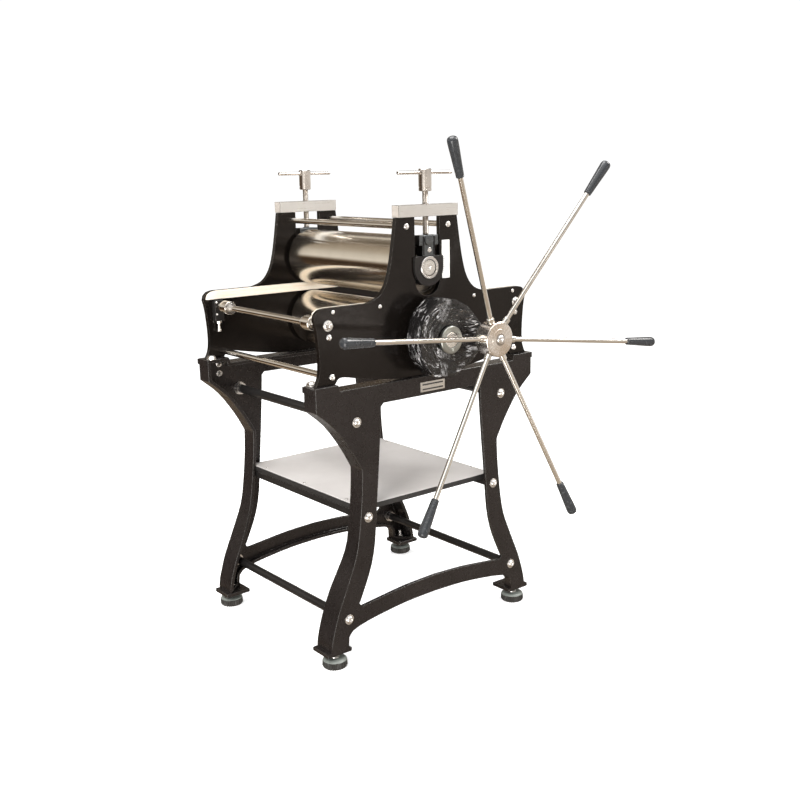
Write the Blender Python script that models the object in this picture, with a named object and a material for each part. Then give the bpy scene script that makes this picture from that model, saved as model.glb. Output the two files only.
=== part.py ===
"""Etching press on a cast stand: two geared rollers between side plates, star wheel in front.

X is the way the bed travels, Y runs along the rollers (the star wheel is on the -Y side), Z is up.
Everything is drawn about the middle of the machine and moved at the end so that the origin lies
under the middle of the whole object, on the floor.
"""
import math

import bmesh
import bpy
from mathutils import Matrix, Vector
from mathutils.geometry import tessellate_polygon

GAP = 0.0003
SIDES = (("near", -1), ("far", 1))
ENDS = (("left", -1), ("right", 1))

# stand
STAND_Y = 0.2819
WEB = 0.009
RIM_DEPTH = 0.050
FOOT_RIM_DEPTH = 0.065
RIM_FLARE_Z = (0.190, 0.300)
ARCH_RIM_DEPTH = 0.026
RIM = 0.009
RAIL_TOP = 0.705
PAD_TOP = 0.720
PAD_INNER_X = 0.290
RAIL_END_X = 0.3554
RAIL_LOW = 0.657
LEG_FOOT_Z = 0.046
FOOT_PLATE_X = (0.275, 0.348)
FOOT_PLATE_DEPTH = 0.067
FOOT_PLATE_Z = (0.038, 0.048)
FOOT_X = 0.3115
FOOT_Y = 0.2573
PAD_RADIUS = 0.032
STUD_RADIUS = 0.006
STUD_TOP = 0.072
UPPER_TUBE = (0.2403, 0.6218, 0.012)
LOWER_ROD = (0.2806, 0.1238, 0.011)
SHELF = (0.2235, 0.258, 0.3845, 0.400)
SHELF_RAIL = (0.2126, 0.012, 0.3665, 0.3842)

# side plates
PLATE_OUT = 0.2692
PLATE_IN = 0.2572
PLATE_MID = 0.2632
PLATE_FOOT = 0.7203
PLATE_BELLY = 0.7058
SHOULDER = 0.903
PLATE_TOP = 1.100
SLOT_HALF = 0.040
SLOT_END = 0.945
STRIP_Z = (0.880, 0.9025)
STRIP_THICK = 0.010

# rollers and drive
ROLLER_RADIUS = 0.0759
ROLLER_HALF = 0.244
JOURNAL = 0.020
BORE = 0.0204
LOWER_Z = 0.8033
UPPER_Z = 0.9754
MODULE = 0.0025
GEAR_TEETH = 66
PINION_TEETH = 16
PINION_DROP = 0.0035
GEAR_FACE = (-0.340, -0.312)
GEAR_BOSS = (-0.358, -0.300)
PINION_FACE = (-0.341, -0.311)
SHAFT_RADIUS = 0.0125

# star wheel
HUB_Y = -0.4007
HUB_HALF = 0.0225
HUB_RADIUS = 0.044
SPOKES = 6
FIRST_SPOKE = math.radians(-6.5)
SPOKE_LENGTH = 0.5331
SPOKE_LEAN = math.radians(9.0)
SPOKE_RADIUS = 0.0062
GRIP_SHARE = 0.818

# pressure screws
CAP_HALF = 0.095
CAP_Y = (0.2497, 0.2772)
CAP_Z = (1.1003, 1.1295)
SPINDLE = 0.0078
SCREW_HEAD = (1.161, 1.2147, 0.0163)
TOMMY_Z = 1.2055
TOMMY_HALF = 0.086
TOMMY_RADIUS = 0.0045
YOKE_Z = (1.0036, 1.030, 1.055)

# tie rods, bed axles
TOP_TIE = (0.067, 1.0785, 0.0075)
LOW_TIE = (0.2992, 0.7384, 0.008)
AXLE = (0.306, 0.8615, 0.008)
BED_WHEEL_RADIUS = 0.0175
BED_WHEEL_Y = 0.195
BED_WHEEL_HALF = 0.015


def clear_scene():
    for item in list(bpy.data.objects):
        bpy.data.objects.remove(item, do_unlink=True)


def material(name, colour, roughness, metallic):
    made = bpy.data.materials.new(name)
    made.use_nodes = True
    shader = made.node_tree.nodes["Principled BSDF"]
    shader.inputs["Base Color"].default_value = (*colour, 1.0)
    shader.inputs["Roughness"].default_value = roughness
    shader.inputs["Metallic"].default_value = metallic
    return made


def add_object(name, mesh_data, paint, origin=(0, 0, 0), smooth_angle=35):
    bmesh.ops.recalc_face_normals(mesh_data, faces=mesh_data.faces)
    bmesh.ops.translate(mesh_data, verts=mesh_data.verts, vec=-Vector(origin))
    mesh = bpy.data.meshes.new(name)
    mesh_data.to_mesh(mesh)
    mesh_data.free()
    mesh.materials.append(paint)
    if smooth_angle:
        mesh.shade_smooth()
        mesh.set_sharp_from_angle(angle=math.radians(smooth_angle))
    made = bpy.data.objects.new(name, mesh)
    made.location = origin
    bpy.context.scene.collection.objects.link(made)
    return made


def boolean(target, tool, operation):
    tool.hide_render = True
    tool.display_type = "WIRE"
    cut = target.modifiers.new(tool.name, "BOOLEAN")
    cut.operation = operation
    cut.solver = "EXACT"
    cut.object = tool


def parent_to(child, parent):
    child.parent = parent
    child.matrix_parent_inverse = Matrix.Translation(-parent.location)


def smooth_curve(points, steps):
    """Points along a curve that passes through each of the given points."""
    ends = [points[0]] + list(points) + [points[-1]]
    out = []
    for i in range(1, len(ends) - 2):
        p0, p1, p2, p3 = (Vector(ends[i + k]) for k in (-1, 0, 1, 2))
        for step in range(steps):
            t = step / steps
            a = 2 * p1 + (p2 - p0) * t
            b = (2 * p0 - 5 * p1 + 4 * p2 - p3) * t * t
            c = (3 * p1 - p0 - 3 * p2 + p3) * t * t * t
            out.append(tuple((a + b + c) / 2))
    out.append(tuple(points[-1]))
    return out


def circle(cx, cy, radius, count):
    turn = 2 * math.pi / count
    return [(cx + radius * math.cos(turn * i), cy + radius * math.sin(turn * i)) for i in range(count)]


def mirrored(half):
    """Close an outline from its +X half, whose first and last points lie on X = 0."""
    return half + [(-x, z) for x, z in reversed(half) if x > 1e-6]


def prism(outline, holes, low, high, plane="XZ"):
    """A flat shape with holes, pushed out from low to high along the plane's normal."""
    def place(point, level):
        if plane == "XZ":
            return (point[0], level, point[1])
        return (point[0], point[1], level)

    made = bmesh.new()
    loops = [outline] + holes
    rings = {}
    for level in (low, high):
        rings[level] = [[made.verts.new(place(p, level)) for p in loop] for loop in loops]
        flat = [v for ring in rings[level] for v in ring]
        for tri in tessellate_polygon([[Vector((*p, 0)) for p in loop] for loop in loops]):
            made.faces.new([flat[i] for i in tri])
    for lower, upper in zip(rings[low], rings[high]):
        for i in range(len(lower)):
            j = (i + 1) % len(lower)
            made.faces.new((lower[i], lower[j], upper[j], upper[i]))
    return made


def turned(profile, segments, frame=Matrix(), ring=False):
    """Turn (distance, radius) points about local Z; a ring profile goes round a bore."""
    made = bmesh.new()
    rows = []
    for distance, radius in profile:
        if radius < 1e-7:
            rows.append([made.verts.new(frame @ Vector((0, 0, distance)))])
            continue
        rows.append([made.verts.new(frame @ Vector((x, y, distance)))
                     for x, y in circle(0, 0, radius, segments)])
    pairs = list(zip(rows, rows[1:]))
    if ring:
        pairs.append((rows[-1], rows[0]))
    for a, b in pairs:
        for i in range(segments):
            j = (i + 1) % segments
            corners = [a[i % len(a)], a[j % len(a)], b[j % len(b)], b[i % len(b)]]
            made.faces.new(list(dict.fromkeys(corners)))
    return made


def along_y(x, y, z):
    """Local Z laid along +Y, with the origin at x, y, z."""
    return Matrix.Translation((x, y, z)) @ Matrix.Rotation(math.radians(-90), 4, "X")


def along_x(x, y, z):
    return Matrix.Translation((x, y, z)) @ Matrix.Rotation(math.radians(90), 4, "Y")


def rod(start, end, radius):
    """Turned profile of a plain bar."""
    return [(start, 0), (start, radius), (end, radius), (end, 0)]


def inset(outline, width):
    """Move each edge of an anticlockwise outline inwards by width."""
    out = []
    count = len(outline)
    for i in range(count):
        before = Vector(outline[i]) - Vector(outline[i - 1])
        after = Vector(outline[(i + 1) % count]) - Vector(outline[i])
        n1 = Vector((-before.y, before.x)).normalized()
        n2 = Vector((-after.y, after.x)).normalized()
        middle = (n1 + n2) / max(0.35, 1 + n1.dot(n2))
        out.append((outline[i][0] + middle.x * width, outline[i][1] + middle.y * width))
    return out


def stand_outline():
    """Outer outline of a stand side, anticlockwise, starting at the middle of the arch."""
    arch = smooth_curve([(0, 0.121), (0.1, 0.1175), (0.2, 0.106), (0.25, 0.0965)], 3)
    heel = smooth_curve([(0.268, 0.090), (0.281, 0.076), (0.2835, LEG_FOOT_Z)], 2)
    leg = [(0.336, LEG_FOOT_Z)] + smooth_curve(
        [(0.3345, 0.064), (0.329, 0.090), (0.311, 0.145), (0.280, 0.215), (0.2515, 0.285),
         (0.238, 0.360), (0.2295, 0.440), (0.227, 0.498)], 3)
    gusset = smooth_curve([(0.231, 0.506), (0.258, 0.553), (0.304, 0.615), (RAIL_END_X, 0.660)], 3)
    top = [(RAIL_END_X, PAD_TOP), (PAD_INNER_X, PAD_TOP), (PAD_INNER_X - 0.004, RAIL_TOP), (0, RAIL_TOP)]
    half = arch + heel + leg + gusset + top
    return mirrored(half)


def stand_window():
    """Opening between the legs, above the arch."""
    sill = smooth_curve([(0, 0.166), (0.1, 0.162), (0.2, 0.1515), (0.238, 0.1475)], 3)
    jamb = smooth_curve([(0.247, 0.156), (0.226, 0.200), (0.206, 0.250), (0.193, 0.310),
                         (0.185, 0.400), (0.176, 0.500), (0.168, 0.600), (0.165, 0.649)], 2)
    lintel = [(0.157, RAIL_LOW), (0, RAIL_LOW)]
    return mirrored(sill + jamb + lintel)


def rimmed_side(side):
    """A flat web with a rim standing in from its outer outline."""
    outline = stand_outline()
    inner = inset(outline, RIM)
    window = stand_window()
    face = side * STAND_Y
    floor = side * (STAND_Y - WEB)
    made = bmesh.new()

    def ring(points, level):
        return [made.verts.new((x, level, z)) for x, z in points]

    def rim_level(point):
        if abs(point[0]) < 0.2836 and point[1] < 0.13:
            return side * (STAND_Y - ARCH_RIM_DEPTH)
        low, high = RIM_FLARE_Z
        flare = min(1.0, max(0.0, (high - point[1]) / (high - low)))
        return side * (STAND_Y - RIM_DEPTH - (FOOT_RIM_DEPTH - RIM_DEPTH) * flare)

    def cap(loops, rings):
        flat = [v for r in rings for v in r]
        for tri in tessellate_polygon([[Vector((*p, 0)) for p in loop] for loop in loops]):
            made.faces.new([flat[i] for i in tri])

    outer_face = ring(outline, face)
    window_face = ring(window, face)
    window_floor = ring(window, floor)
    inner_floor = ring(inner, floor)
    outer_edge = [made.verts.new((p[0], rim_level(p), p[1])) for p in outline]
    inner_edge = [made.verts.new((q[0], rim_level(p), q[1])) for p, q in zip(outline, inner)]
    cap([outline, window], [outer_face, window_face])
    cap([inner, window], [inner_floor, window_floor])
    walls = ((outer_face, outer_edge), (outer_edge, inner_edge), (inner_edge, inner_floor),
             (window_face, window_floor))
    for a, b in walls:
        for i in range(len(a)):
            j = (i + 1) % len(a)
            made.faces.new((a[i], a[j], b[j], b[i]))
    return made


def build_stand_side(word, side, paint):
    frame = add_object(f"stand_side_{word}", rimmed_side(side), paint)
    inner_y = side * (STAND_Y - FOOT_PLATE_DEPTH)
    levels = sorted((side * (STAND_Y - GAP), inner_y))
    for end, hand in ENDS:
        x0, x1 = sorted(hand * x for x in FOOT_PLATE_X)
        corners = [(x0, levels[0]), (x1, levels[0]), (x1, levels[1]), (x0, levels[1])]
        plate = add_object(f"foot_plate_{word}_{end}", prism(corners, [], *FOOT_PLATE_Z, "XY"), paint)
        boolean(frame, plate, "UNION")
    for end, hand in ENDS:
        hole = Matrix.Translation((hand * FOOT_X, side * FOOT_Y, 0))
        cutter = add_object(f"stud_hole_{word}_{end}",
                            turned(rod(0.030, 0.066, STUD_RADIUS + 0.0006), 16, hole), paint)
        boolean(frame, cutter, "DIFFERENCE")


def build_stand(cast, tube_paint, board, rubber):
    for word, side in SIDES:
        build_stand_side(word, side, cast)
    reach = STAND_Y - WEB - GAP
    for end, hand in ENDS:
        for label, (x, z, radius) in (("upper_tube", UPPER_TUBE), ("lower_rod", LOWER_ROD)):
            add_object(f"{label}_{end}", turned(rod(-reach, reach, radius), 16, along_y(hand * x, 0, z)),
                       tube_paint)
        x, half, low, high = SHELF_RAIL
        corners = [(hand * x - half, low), (hand * x + half, low),
                   (hand * x + half, high), (hand * x - half, high)]
        add_object(f"shelf_rail_{end}", prism(corners, [], -reach, reach), tube_paint)
    half_x, half_y, low, high = SHELF
    corners = [(-half_x, low), (half_x, low), (half_x, high), (-half_x, high)]
    add_object("shelf_board", prism(corners, [], -half_y, half_y), board)
    for word, side in SIDES:
        for end, hand in ENDS:
            build_foot(f"levelling_foot_{word}_{end}", hand * FOOT_X, side * FOOT_Y, rubber)


def build_foot(name, x, y, rubber):
    profile = [(0, 0), (0, PAD_RADIUS - 0.002), (0.003, PAD_RADIUS), (0.0205, PAD_RADIUS - 0.001),
               (0.024, 0.026), (0.0255, 0.011), (0.028, 0.011), (0.028, STUD_RADIUS),
               (STUD_TOP, STUD_RADIUS), (STUD_TOP, 0)]
    add_object(name, turned(profile, 18, Matrix.Translation((x, y, 0))), rubber, (x, y, 0))


def plate_outline():
    belly = smooth_curve([(0, PLATE_BELLY), (0.075, PLATE_BELLY), (0.145, 0.7125), (0.220, 0.7250),
                          (0.262, 0.7335), (0.280, 0.7320), (0.2895, PLATE_FOOT)], 3)
    end = smooth_curve([(0.345, PLATE_FOOT), (0.3345, 0.745), (0.332, 0.785), (0.337, 0.848),
                        (0.3435, 0.878)], 3)
    corner = smooth_curve([(0.341, 0.889), (0.330, 0.8995), (0.312, SHOULDER)], 2)
    flare = smooth_curve([(0.190, SHOULDER), (0.156, 0.915), (0.132, 0.943), (0.1175, 0.985),
                          (0.107, 1.040), (0.098, PLATE_TOP)], 3)
    slot = [(SLOT_HALF, PLATE_TOP)]
    for step in range(9):
        turn = -math.pi / 2 * step / 8
        slot.append((SLOT_HALF * math.cos(turn), SLOT_END + SLOT_HALF * math.sin(turn)))
    slot[-1] = (0, SLOT_END - SLOT_HALF)
    return mirrored(belly + end + corner + flare + slot)


def pinion_x():
    centres = MODULE * (GEAR_TEETH + PINION_TEETH) / 2
    return math.sqrt(centres ** 2 - PINION_DROP ** 2)


def build_side_plates(steel, wood):
    for word, side in SIDES:
        holes = [circle(0, LOWER_Z, 0.045, 32)]
        if side < 0:
            holes.append(circle(pinion_x(), LOWER_Z - PINION_DROP, SHAFT_RADIUS + 0.001, 20))
        levels = sorted((side * PLATE_IN, side * PLATE_OUT))
        add_object(f"side_plate_{word}", prism(plate_outline(), holes, *levels), steel)
        low, high = STRIP_Z
        strip = mirrored([(0, low), (0.338, low), (0.334, 0.893), (0.322, 0.9), (0.306, high), (0, high)])
        levels = sorted((side * (PLATE_IN - GAP), side * (PLATE_IN - STRIP_THICK)))
        add_object(f"guide_strip_{word}", prism(strip, [], *levels), wood)


def build_ties(chrome):
    reach = PLATE_IN - GAP
    for end, hand in ENDS:
        for label, (x, z, radius) in (("top_tie_rod", TOP_TIE), ("lower_tie_rod", LOW_TIE),
                                      ("bed_axle", AXLE)):
            add_object(f"{label}_{end}", turned(rod(-reach, reach, radius), 16, along_y(hand * x, 0, z)),
                       chrome)


def build_bed_supports(chrome, steel):
    x, z, radius = AXLE
    for word, side in SIDES:
        for end, hand in ENDS:
            centre = (hand * x, side * BED_WHEEL_Y, z)
            half = BED_WHEEL_HALF
            rim = BED_WHEEL_RADIUS
            bore = radius + 0.0004
            profile = [(-half, bore), (-half, rim), (half, rim), (half, bore)]
            add_object(f"bed_wheel_{word}_{end}", turned(profile, 24, along_y(*centre), True), chrome,
                       centre)
            low, high = z - 0.040, z + 0.0155
            corners = [(hand * x - 0.013, low), (hand * x + 0.013, low),
                       (hand * x + 0.013, high), (hand * x - 0.013, high)]
            levels = sorted((side * (PLATE_IN - GAP), side * (PLATE_IN - 0.017)))
            block = add_object(f"axle_bracket_{word}_{end}",
                               prism(corners, [circle(hand * x, z, bore, 20)], *levels), steel)
            spot = Matrix.Translation((hand * x, side * (PLATE_IN - 0.0087), 0))
            screw = add_object(f"jack_screw_{word}_{end}",
                               turned(rod(low - 0.030, low + 0.006, 0.004), 12, spot), chrome)
            boolean(block, screw, "UNION")


def housing_outline(half, top):
    """Square top, round bottom about the journal, for the sliding bearing housings."""
    points = [(half, top)]
    for step in range(17):
        turn = -math.pi * step / 16
        points.append((half * math.cos(turn), UPPER_Z + half * math.sin(turn)))
    points.append((-half, top))
    return points


def build_upper_bearings(steel, metal):
    top = YOKE_Z[0] - GAP
    for word, side in SIDES:
        core = add_object(f"upper_bearing_{word}", prism(
            housing_outline(SLOT_HALF - 0.0005, top), [],
            *sorted((side * (PLATE_IN - 0.003), side * (PLATE_OUT + 0.003)))), steel,
            (0, side * PLATE_MID, UPPER_Z))
        for place, inside, outside in (("in", PLATE_IN - 0.0064, PLATE_IN - GAP),
                                       ("out", PLATE_OUT + GAP, PLATE_OUT + 0.0064)):
            cheek = add_object(f"cheek_{place}_{word}", prism(
                housing_outline(SLOT_HALF + 0.006, top - 0.0005), [],
                *sorted((side * inside, side * outside))), steel)
            boolean(core, cheek, "UNION")
        collar = add_object(f"bearing_ring_{word}", turned(
            rod(-0.0022, 0.0022, 0.0278), 28, along_y(0, side * (PLATE_OUT + 0.0064), UPPER_Z)), metal)
        boolean(core, collar, "UNION")
        bore = add_object(f"bearing_bore_{word}", turned(
            rod(-0.03, 0.03, BORE), 28, along_y(0, side * PLATE_MID, UPPER_Z)), metal)
        boolean(core, bore, "DIFFERENCE")
        low, waist, high = YOKE_Z
        shape = mirrored([(0, low), (0.020, low), (0.020, waist), (0.030, waist), (0.030, high), (0, high)])
        add_object(f"yoke_{word}", prism(shape, [], *sorted((side * 0.2515, side * 0.2749))), metal,
                   (0, side * PLATE_MID, high))


def build_pressure_screws(metal, chrome):
    for word, side in SIDES:
        y = side * PLATE_MID
        y0, y1 = sorted(side * v for v in CAP_Y)
        corners = [(-CAP_HALF, y0), (CAP_HALF, y0), (CAP_HALF, y1), (-CAP_HALF, y1)]
        add_object(f"cap_block_{word}", prism(corners, [circle(0, y, SPINDLE + 0.0006, 20)], *CAP_Z, "XY"),
                   metal)
        low, high, wide = SCREW_HEAD
        profile = [(YOKE_Z[2] + GAP, 0), (YOKE_Z[2] + GAP, SPINDLE), (low, SPINDLE), (low, wide),
                   (high - 0.0015, wide), (high, wide - 0.0015), (high, 0)]
        screw = add_object(f"pressure_screw_{word}",
                           turned(profile, 24, Matrix.Translation((0, y, 0))), chrome, (0, y, low))
        cross = add_object(f"tommy_hole_{word}", turned(
            rod(-0.03, 0.03, TOMMY_RADIUS + 0.0004), 14, along_x(0, y, TOMMY_Z)), chrome)
        boolean(screw, cross, "DIFFERENCE")
        reach = TOMMY_HALF
        thin = TOMMY_RADIUS
        bar = [(-reach, 0), (-reach + 0.0012, thin), (reach - 0.0012, thin), (reach, 0)]
        tommy = add_object(f"tommy_bar_{word}", turned(bar, 12, along_x(0, y, TOMMY_Z)), chrome,
                           (0, y, TOMMY_Z))
        parent_to(tommy, screw)


def build_rollers(chrome, steel):
    r = ROLLER_RADIUS
    half = ROLLER_HALF
    for label, z, low, high in (("upper", UPPER_Z, -0.2765, 0.2765), ("lower", LOWER_Z, -0.3585, 0.2785)):
        profile = [(low, 0), (low, JOURNAL), (-half, JOURNAL), (-half, r), (half, r), (half, JOURNAL),
                   (high, JOURNAL), (high, 0)]
        add_object(f"{label}_roller", turned(profile, 40, along_y(0, 0, z)), chrome, (0, 0, z))
    for word, side in SIDES:
        start = PLATE_IN - 0.0015
        profile = [(start, BORE), (start, 0.0444), (PLATE_OUT + GAP, 0.0444), (PLATE_OUT + GAP, 0.054),
                   (PLATE_OUT + 0.0073, 0.054), (PLATE_OUT + 0.0073, BORE)]
        if side < 0:
            profile = [(-y, radius) for y, radius in profile]
        add_object(f"lower_bearing_{word}", turned(profile, 28, along_y(0, 0, LOWER_Z), True), steel)


def involute(angle):
    return math.tan(angle) - angle


def toothed_outline(teeth, cx, cz, first, backlash):
    """Involute gear outline with a tooth centred on the angle first."""
    pitch = MODULE * teeth / 2
    base = pitch * math.cos(math.radians(20))
    root = pitch - 1.25 * MODULE
    tip = pitch + MODULE
    half_pitch = math.pi / (2 * teeth) - backlash / (2 * pitch)
    flank = [root, pitch, tip]
    points = []
    for tooth in range(teeth):
        middle = first + 2 * math.pi * tooth / teeth
        lean = []
        for radius in flank:
            angle = math.acos(min(1.0, base / radius))
            lean.append((radius, half_pitch + involute(math.radians(20)) - involute(angle)))
        for radius, half in lean:
            points.append((cx + radius * math.cos(middle - half), cz + radius * math.sin(middle - half)))
        for radius, half in reversed(lean):
            points.append((cx + radius * math.cos(middle + half), cz + radius * math.sin(middle + half)))
    return points


def gear_windows(count, inner, outer, arm):
    """Openings between the gear's arms."""
    windows = []
    for k in range(count):
        middle = 2 * math.pi * (k + 0.5) / count
        points = []
        for radius, order in ((outer, 1), (inner, -1)):
            span = math.pi / count - math.asin(arm / 2 / radius)
            for step in range(5):
                turn = middle + order * span * (step / 2 - 1)
                points.append((radius * math.cos(turn), LOWER_Z + radius * math.sin(turn)))
        windows.append(points)
    return windows


def build_drive(dark, metal):
    x = pinion_x()
    z = LOWER_Z - PINION_DROP
    toward = math.atan2(-PINION_DROP, x)
    teeth = toothed_outline(GEAR_TEETH, 0, LOWER_Z, toward, 0.0005)
    gear = add_object("drive_gear", prism(teeth, gear_windows(5, 0.034, 0.067, 0.015), *GEAR_FACE), dark,
                      (0, 0, LOWER_Z), 25)
    low, high = GEAR_BOSS
    boss = add_object("gear_boss", turned(
        [(low, 0), (low, 0.0345), (low + 0.008, 0.0345), (low + 0.008, 0.030), (high, 0.030), (high, 0)],
        28, along_y(0, 0, LOWER_Z)), dark)
    boolean(gear, boss, "UNION")
    bore = add_object("gear_bore", turned(rod(low - 0.01, high + 0.01, BORE), 28,
                                          along_y(0, 0, LOWER_Z)), dark)
    boolean(gear, bore, "DIFFERENCE")
    gap_angle = toward + math.pi + math.pi / PINION_TEETH
    teeth = toothed_outline(PINION_TEETH, x, z, gap_angle, 0.0005)
    pinion = add_object("pinion_shaft", prism(teeth, [], *PINION_FACE), metal, (x, 0, z), 25)
    shaft = add_object("pinion_bar", turned(rod(-0.4222, -0.2505, SHAFT_RADIUS), 24, along_y(x, 0, z)),
                       metal)
    boolean(pinion, shaft, "UNION")
    return pinion


def build_star_wheel(pinion, metal, chrome, black):
    x = pinion_x()
    z = LOWER_Z - PINION_DROP
    bore = SHAFT_RADIUS + 0.0004
    face = -HUB_HALF
    back = HUB_HALF
    profile = [(face, bore), (face, HUB_RADIUS - 0.003), (face + 0.003, HUB_RADIUS),
               (back, HUB_RADIUS), (back, 0.0195), (back + 0.034, 0.0195), (back + 0.034, bore)]
    hub = add_object("wheel_hub", turned(profile, 28, along_y(x, HUB_Y, z), True), metal, (x, HUB_Y, z))
    parent_to(hub, pinion)
    grip_start = SPOKE_LENGTH * GRIP_SHARE
    for k in range(SPOKES):
        turn = FIRST_SPOKE + 2 * math.pi * k / SPOKES
        frame = (Matrix.Translation((x, HUB_Y, z)) @ Matrix.Rotation(-turn, 4, "Y")
                 @ Matrix.Rotation(math.radians(90), 4, "Y"))
        frame = frame @ Matrix.Rotation(SPOKE_LEAN, 4, "X")
        spoke = [(0.0465, 0), (0.0465, 0.0092), (0.060, 0.0092), (0.0615, SPOKE_RADIUS),
                 (grip_start - GAP, SPOKE_RADIUS), (grip_start - GAP, 0)]
        rod_piece = add_object(f"spoke_{k + 1}", turned(spoke, 12, frame), chrome, (x, HUB_Y, z))
        grip = [(grip_start, 0), (grip_start, 0.0095), (grip_start + 0.030, 0.0108),
                (SPOKE_LENGTH - 0.010, 0.0128), (SPOKE_LENGTH - 0.0025, 0.0105), (SPOKE_LENGTH, 0)]
        grip_piece = add_object(f"grip_{k + 1}", turned(grip, 14, frame), black, (x, HUB_Y, z))
        parent_to(rod_piece, hub)
        parent_to(grip_piece, hub)


def stand_on_origin():
    """Move the machine so that the origin lies under the middle of its whole box."""
    bpy.context.view_layer.update()
    solids = [o for o in bpy.data.objects if not o.hide_render]
    corners = [o.matrix_world @ v.co for o in solids for v in o.data.vertices]
    mid_x = (min(c.x for c in corners) + max(c.x for c in corners)) / 2
    mid_y = (min(c.y for c in corners) + max(c.y for c in corners)) / 2
    for item in bpy.data.objects:
        if item.parent is None:
            item.location.x -= mid_x
            item.location.y -= mid_y


def main():
    clear_scene()
    cast = material("black_cast_paint", (0.018, 0.017, 0.017), 0.38, 0.0)
    steel = material("black_plate_paint", (0.016, 0.015, 0.015), 0.33, 0.0)
    tube = material("black_tube", (0.02, 0.02, 0.021), 0.42, 0.0)
    chrome = material("chrome", (0.74, 0.70, 0.65), 0.12, 1.0)
    metal = material("machined_steel", (0.62, 0.60, 0.57), 0.3, 1.0)
    wood = material("beech", (0.72, 0.58, 0.42), 0.5, 0.0)
    board = material("pale_board", (0.62, 0.61, 0.60), 0.45, 0.0)
    rubber = material("dark_rubber", (0.05, 0.05, 0.052), 0.75, 0.0)
    black = material("black_grip", (0.015, 0.015, 0.017), 0.35, 0.0)
    dark = material("oiled_gear", (0.05, 0.048, 0.047), 0.35, 0.6)
    build_stand(cast, tube, board, rubber)
    build_side_plates(steel, wood)
    build_ties(chrome)
    build_bed_supports(chrome, steel)
    build_upper_bearings(steel, metal)
    build_pressure_screws(metal, chrome)
    build_rollers(chrome, steel)
    pinion = build_drive(dark, metal)
    build_star_wheel(pinion, metal, chrome, black)
    stand_on_origin()


main()
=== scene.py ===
"""Etching press on a cast stand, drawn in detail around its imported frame.

X is the way the bed travels, Y runs along the rollers with the star wheel on the -Y side, Z is up.
"""
import math

import bmesh
import bpy
from mathutils import Matrix, Vector, noise
from mathutils.geometry import delaunay_2d_cdt


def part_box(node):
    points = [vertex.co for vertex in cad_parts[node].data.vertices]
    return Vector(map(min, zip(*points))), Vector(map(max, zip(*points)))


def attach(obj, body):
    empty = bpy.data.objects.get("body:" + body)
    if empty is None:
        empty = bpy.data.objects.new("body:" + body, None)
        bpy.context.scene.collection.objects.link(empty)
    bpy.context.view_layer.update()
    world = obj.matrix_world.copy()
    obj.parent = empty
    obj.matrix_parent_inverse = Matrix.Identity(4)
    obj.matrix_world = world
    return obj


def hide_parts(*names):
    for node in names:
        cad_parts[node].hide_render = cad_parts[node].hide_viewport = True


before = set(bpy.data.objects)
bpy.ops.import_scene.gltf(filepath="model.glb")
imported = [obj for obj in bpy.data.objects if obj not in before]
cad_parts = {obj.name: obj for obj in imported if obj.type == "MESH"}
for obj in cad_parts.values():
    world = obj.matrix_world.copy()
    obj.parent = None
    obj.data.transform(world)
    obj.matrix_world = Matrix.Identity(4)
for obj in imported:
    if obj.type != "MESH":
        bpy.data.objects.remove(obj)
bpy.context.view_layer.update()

SIDES = (("near", -1), ("far", 1))
ENDS = (("left", -1), ("right", 1))
TURN = 2 * math.pi


def middle(node):
    low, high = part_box(node)
    return (low + high) / 2


def radius_of(node):
    low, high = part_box(node)
    return (high.x - low.x) / 2


def face_of(node, side):
    """The Y of a node's face towards that side."""
    low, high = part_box(node)
    return high.y if side > 0 else low.y


def mirrored(profile):
    """A turned profile and its mirror image about distance 0."""
    return profile + [(-d, q) for d, q in reversed(profile)]


def on_circle(radius, turn, centre=(0, 0)):
    return Vector((centre[0] + radius * math.cos(turn), centre[1] + radius * math.sin(turn)))


CENTRE = middle("upper_roller")
MX, MY = CENTRE.x, CENTRE.y
UPPER_Z = CENTRE.z
LOWER_Z = middle("lower_roller").z


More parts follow.
